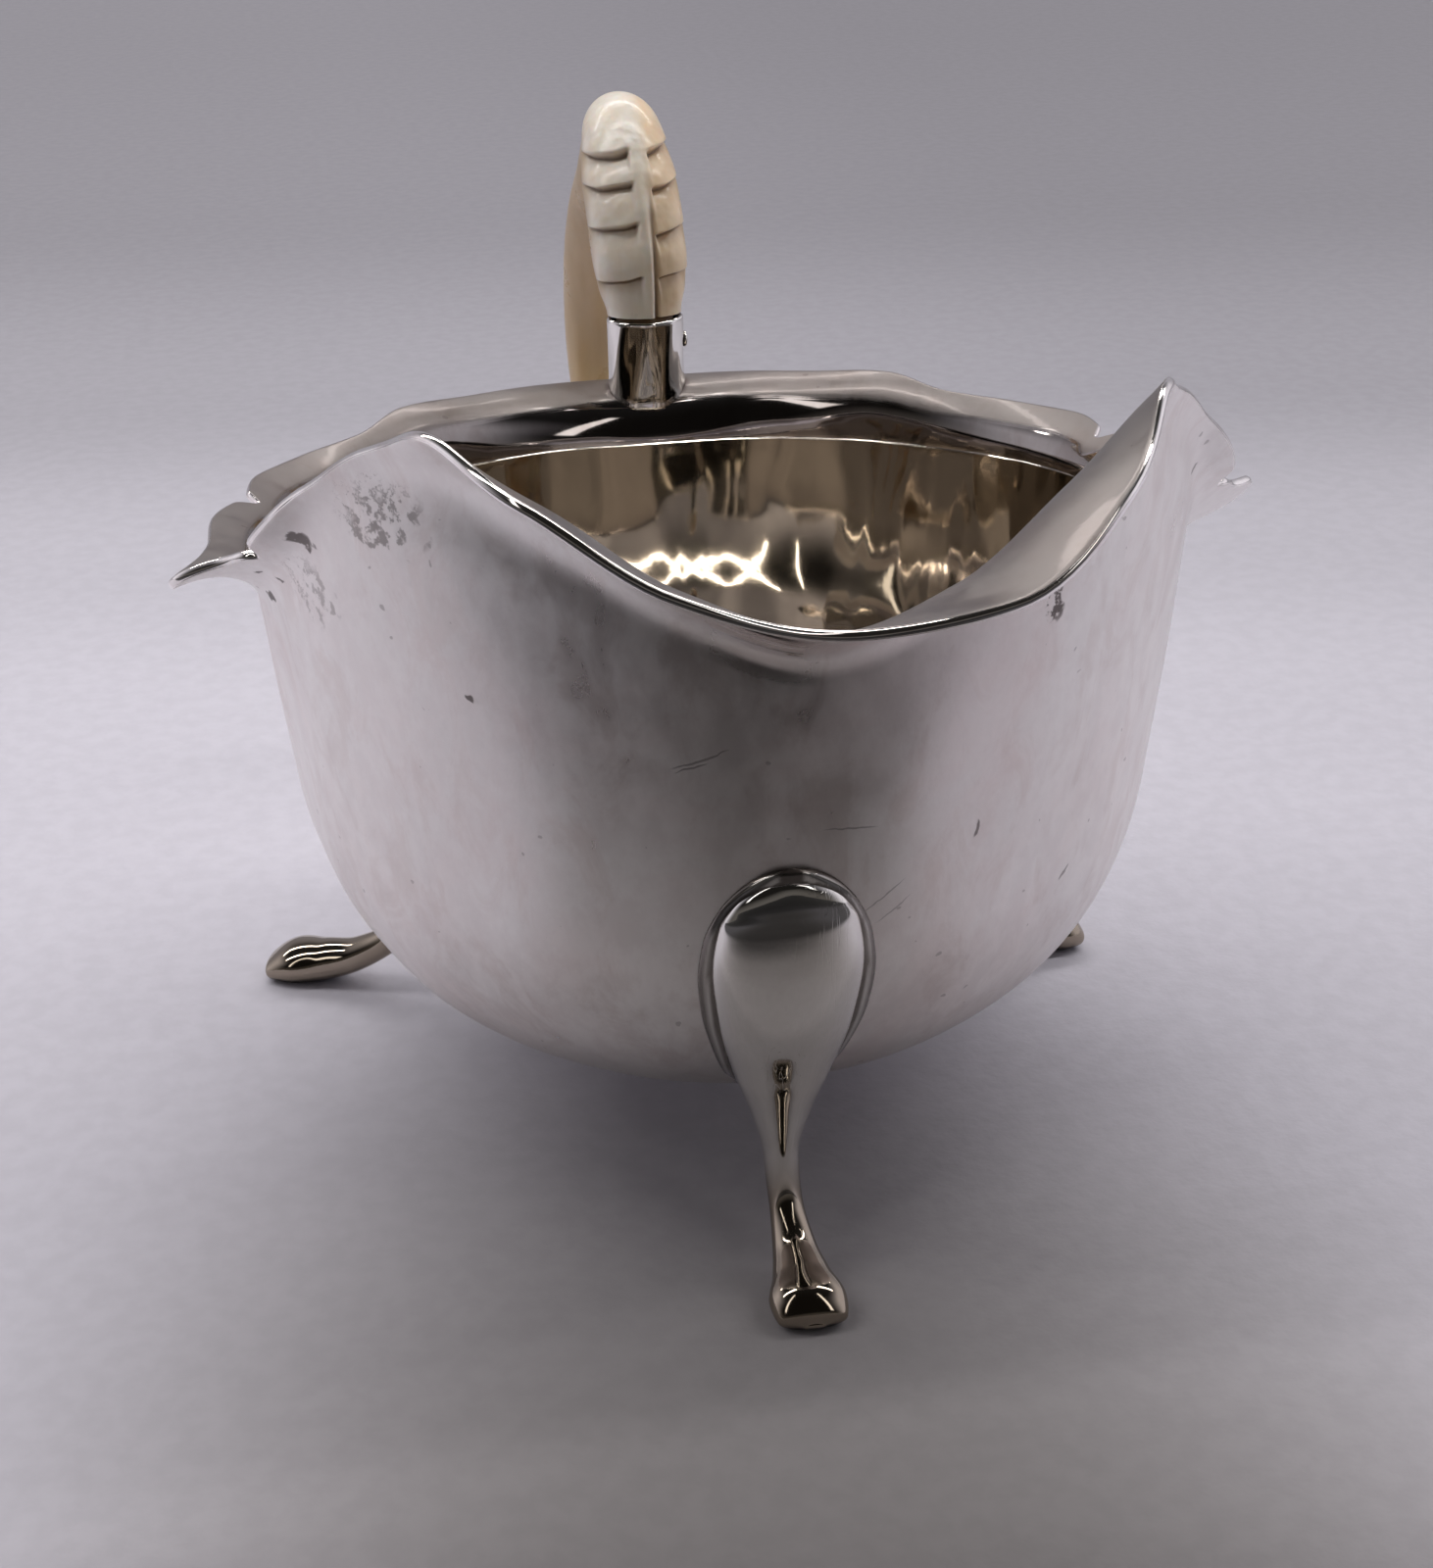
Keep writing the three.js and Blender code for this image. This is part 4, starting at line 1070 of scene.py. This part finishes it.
def floor_material():
    material, g = new_material("pale_floor")
    where = g.add("ShaderNodeTexCoord").outputs["Object"]
    x, y, _ = g.add("ShaderNodeSeparateXYZ", {0: where}).outputs
    across = g.math("DIVIDE", g.math("SUBTRACT", x, SHADOW_X), SHADOW_HALF_WIDTH)
    along = g.math("DIVIDE", g.math("SUBTRACT", y, SHADOW_Y), SHADOW_HALF_LENGTH)
    away = g.math("SQRT", g.plus(g.times(across, across), g.times(along, along)))
    shade = g.ramp(away, SHADOW_INNER, SHADOW_OUTER, SHADOW_TONE, 1.0)
    # painted shade: the floor darkens towards the right
    shade = g.times(shade, g.ramp(x, -0.02, 0.16, 1.0, 0.86))
    speck = g.ramp(g.noise(where, 400.0, 3.0), 0.3, 0.7, 0.97, 1.03)
    tone = g.times(shade, speck)
    green = g.times(tone, g.ramp(away, SHADOW_INNER, SHADOW_OUTER, SHADOW_GREEN, 1.0))
    blue = g.times(tone, g.ramp(away, SHADOW_INNER, SHADOW_OUTER, SHADOW_BLUE, 1.0))
    tint = g.add("ShaderNodeCombineColor", {0: tone, 1: green, 2: blue}).outputs[0]
    color = g.multiply_color(floor_ramp(g, where), tint)
    bump = g.bump(g.noise(where, 900.0, 2.0), 0.2, 0.0003)
    shader = g.add("ShaderNodeBsdfPrincipled", {
        "Base Color": color, "Roughness": 0.75, "Specular IOR Level": 0.2, "Normal": bump})
    g.surface(shader.outputs[0])
    return material


def make_floor():
    size = FLOOR_SIZE
    mesh = bpy.data.meshes.new("floor")
    corners = [(-size, -size, 0), (size, -size, 0), (size, size, 0), (-size, size, 0)]
    mesh.from_pydata(corners, [], [(0, 1, 2, 3)])
    mesh.materials.append(floor_material())
    floor = bpy.data.objects.new("floor", mesh)
    bpy.context.scene.collection.objects.link(floor)


def window(g, value, centre, half, soft):
    """1 within half of centre, falling smoothly to 0 over the soft margin."""
    away = g.math("ABSOLUTE", g.math("SUBTRACT", value, centre))
    return g.ramp(away, half, half + soft, 1.0, 0.0)


DEGREES = math.degrees(1)
TENT_WALL, TENT_TOP, TENT_BACK = (0.80, 0.775, 0.84), (0.022, 0.022, 0.022), (0.42, 0.42, 0.43)
OPENING_LOW, OPENING_HIGH = (0.105, 0.097, 0.090), (0.011, 0.010, 0.009)
OPENING_WAY = (-0.25, -0.968, 0.0)
STRIP_AZIMUTHS, STRIP_HALF, STRIP_SOFT, STRIP_LIGHT = (-56.0, 36.0), 2.5, 1.5, 2.5
STRIP_ELEVATION = (40.0, 18.0, 4.0)     # middle, half height and soft margin, in degrees
# the ceiling bars' middle, half size and soft margin, on a ceiling at height 1
BAR_DEPTHS, BAR_SPAN = ((0.05, 0.035, 0.02), (0.85, 0.05, 0.03)), (0.0, 1.2, 0.1)
BAR_LIGHT, LIGHT_COLOR = 14.0, (1.0, 0.97, 0.95)
BEYOND_FLOOR = (0.42, 0.41, 0.45)


def strip_lights(g, x, y, z):
    """Two upright strips of light in front, left and right of the camera."""
    azimuth = g.times(g.math("ARCTAN2", x, g.times(y, -1.0)), DEGREES)
    elevation = g.times(g.math("ARCSINE", z), DEGREES)
    strips = g.plus(*(window(g, azimuth, at, STRIP_HALF, STRIP_SOFT) for at in STRIP_AZIMUTHS))
    return g.times(strips, window(g, elevation, *STRIP_ELEVATION))


def ceiling_bars(g, x, y, z):
    """Two long bars across the ceiling, one overhead and one behind the object."""
    height = g.math("MAXIMUM", z, 0.05)
    along = g.math("DIVIDE", x, height)
    depth = g.math("DIVIDE", y, height)
    bars = g.plus(*(window(g, depth, *bar) for bar in BAR_DEPTHS))
    bars = g.times(bars, window(g, along, *BAR_SPAN))
    return g.times(bars, g.ramp(z, 0.3, 0.4))


def make_world():
    """A light tent: lavender walls, a dark opening at the camera, strips and ceiling bars."""
    world = bpy.data.worlds.new("tent")
    world.use_nodes = True
    bpy.context.scene.world = world
    g = Graph(world.node_tree)
    direction = g.add("ShaderNodeTexCoord").outputs["Generated"]
    x, y, z = g.add("ShaderNodeSeparateXYZ", {0: direction}).outputs
    opening = g.ramp(g.vector("DOT_PRODUCT", direction, OPENING_WAY), -0.12, 0.60)
    tent = g.mix(g.ramp(z, 0.35, 0.75), TENT_WALL, TENT_TOP)
    tent = g.multiply_color(tent, TENT_BACK, g.ramp(y, 0.35, 0.85))
    tent = g.mix(opening, tent, g.mix(g.ramp(z, 0.0, 0.32), OPENING_LOW, OPENING_HIGH))
    light = g.plus(g.times(strip_lights(g, x, y, z), STRIP_LIGHT),
                   g.times(ceiling_bars(g, x, y, z), BAR_LIGHT))
    glow = g.add("ShaderNodeVectorMath", {0: LIGHT_COLOR, "Scale": light}, operation="SCALE")
    total = g.vector("ADD", tent, glow.outputs[0])
    camera_ray = g.add("ShaderNodeLightPath").outputs["Is Camera Ray"]
    seen = g.mix(camera_ray, total, BEYOND_FLOOR)
    background = g.add("ShaderNodeBackground", {"Color": seen, "Strength": 1.0})
    out = g.add("ShaderNodeOutputWorld")
    g.tree.links.new(background.outputs[0], out.inputs["Surface"])


CAMERA_LENS, CAMERA_SENSOR = 56.79, 36.0
CAMERA_PLACE = (-36.2, -205.29, 130.65)     # around the bowl's axis, in millimetres
# degrees from +Y towards +X, degrees below the horizon, and roll about the view direction
CAMERA_HEADING, CAMERA_DIP, CAMERA_ROLL = 9.918, 26.172, -1.23


def make_camera():
    camera = bpy.data.objects.new("camera", bpy.data.cameras.new("camera"))
    bpy.context.scene.collection.objects.link(camera)
    camera.data.lens = CAMERA_LENS
    camera.data.sensor_width = CAMERA_SENSOR
    camera.data.clip_start, camera.data.clip_end = 0.01, 20.0
    turn = Matrix.Rotation(math.radians(-CAMERA_HEADING), 4, "Z")
    tilt = Matrix.Rotation(math.radians(90 - CAMERA_DIP), 4, "X")
    roll = Matrix.Rotation(math.radians(CAMERA_ROLL), 4, "Z")
    place = Vector(placed(CAMERA_PLACE))
    camera.matrix_world = Matrix.Translation(place) @ turn @ tilt @ roll
    bpy.context.scene.camera = camera


make_floor()
make_world()
make_camera()
bpy.context.scene.view_settings.view_transform = "Standard"
bpy.context.scene.view_settings.look = "None"
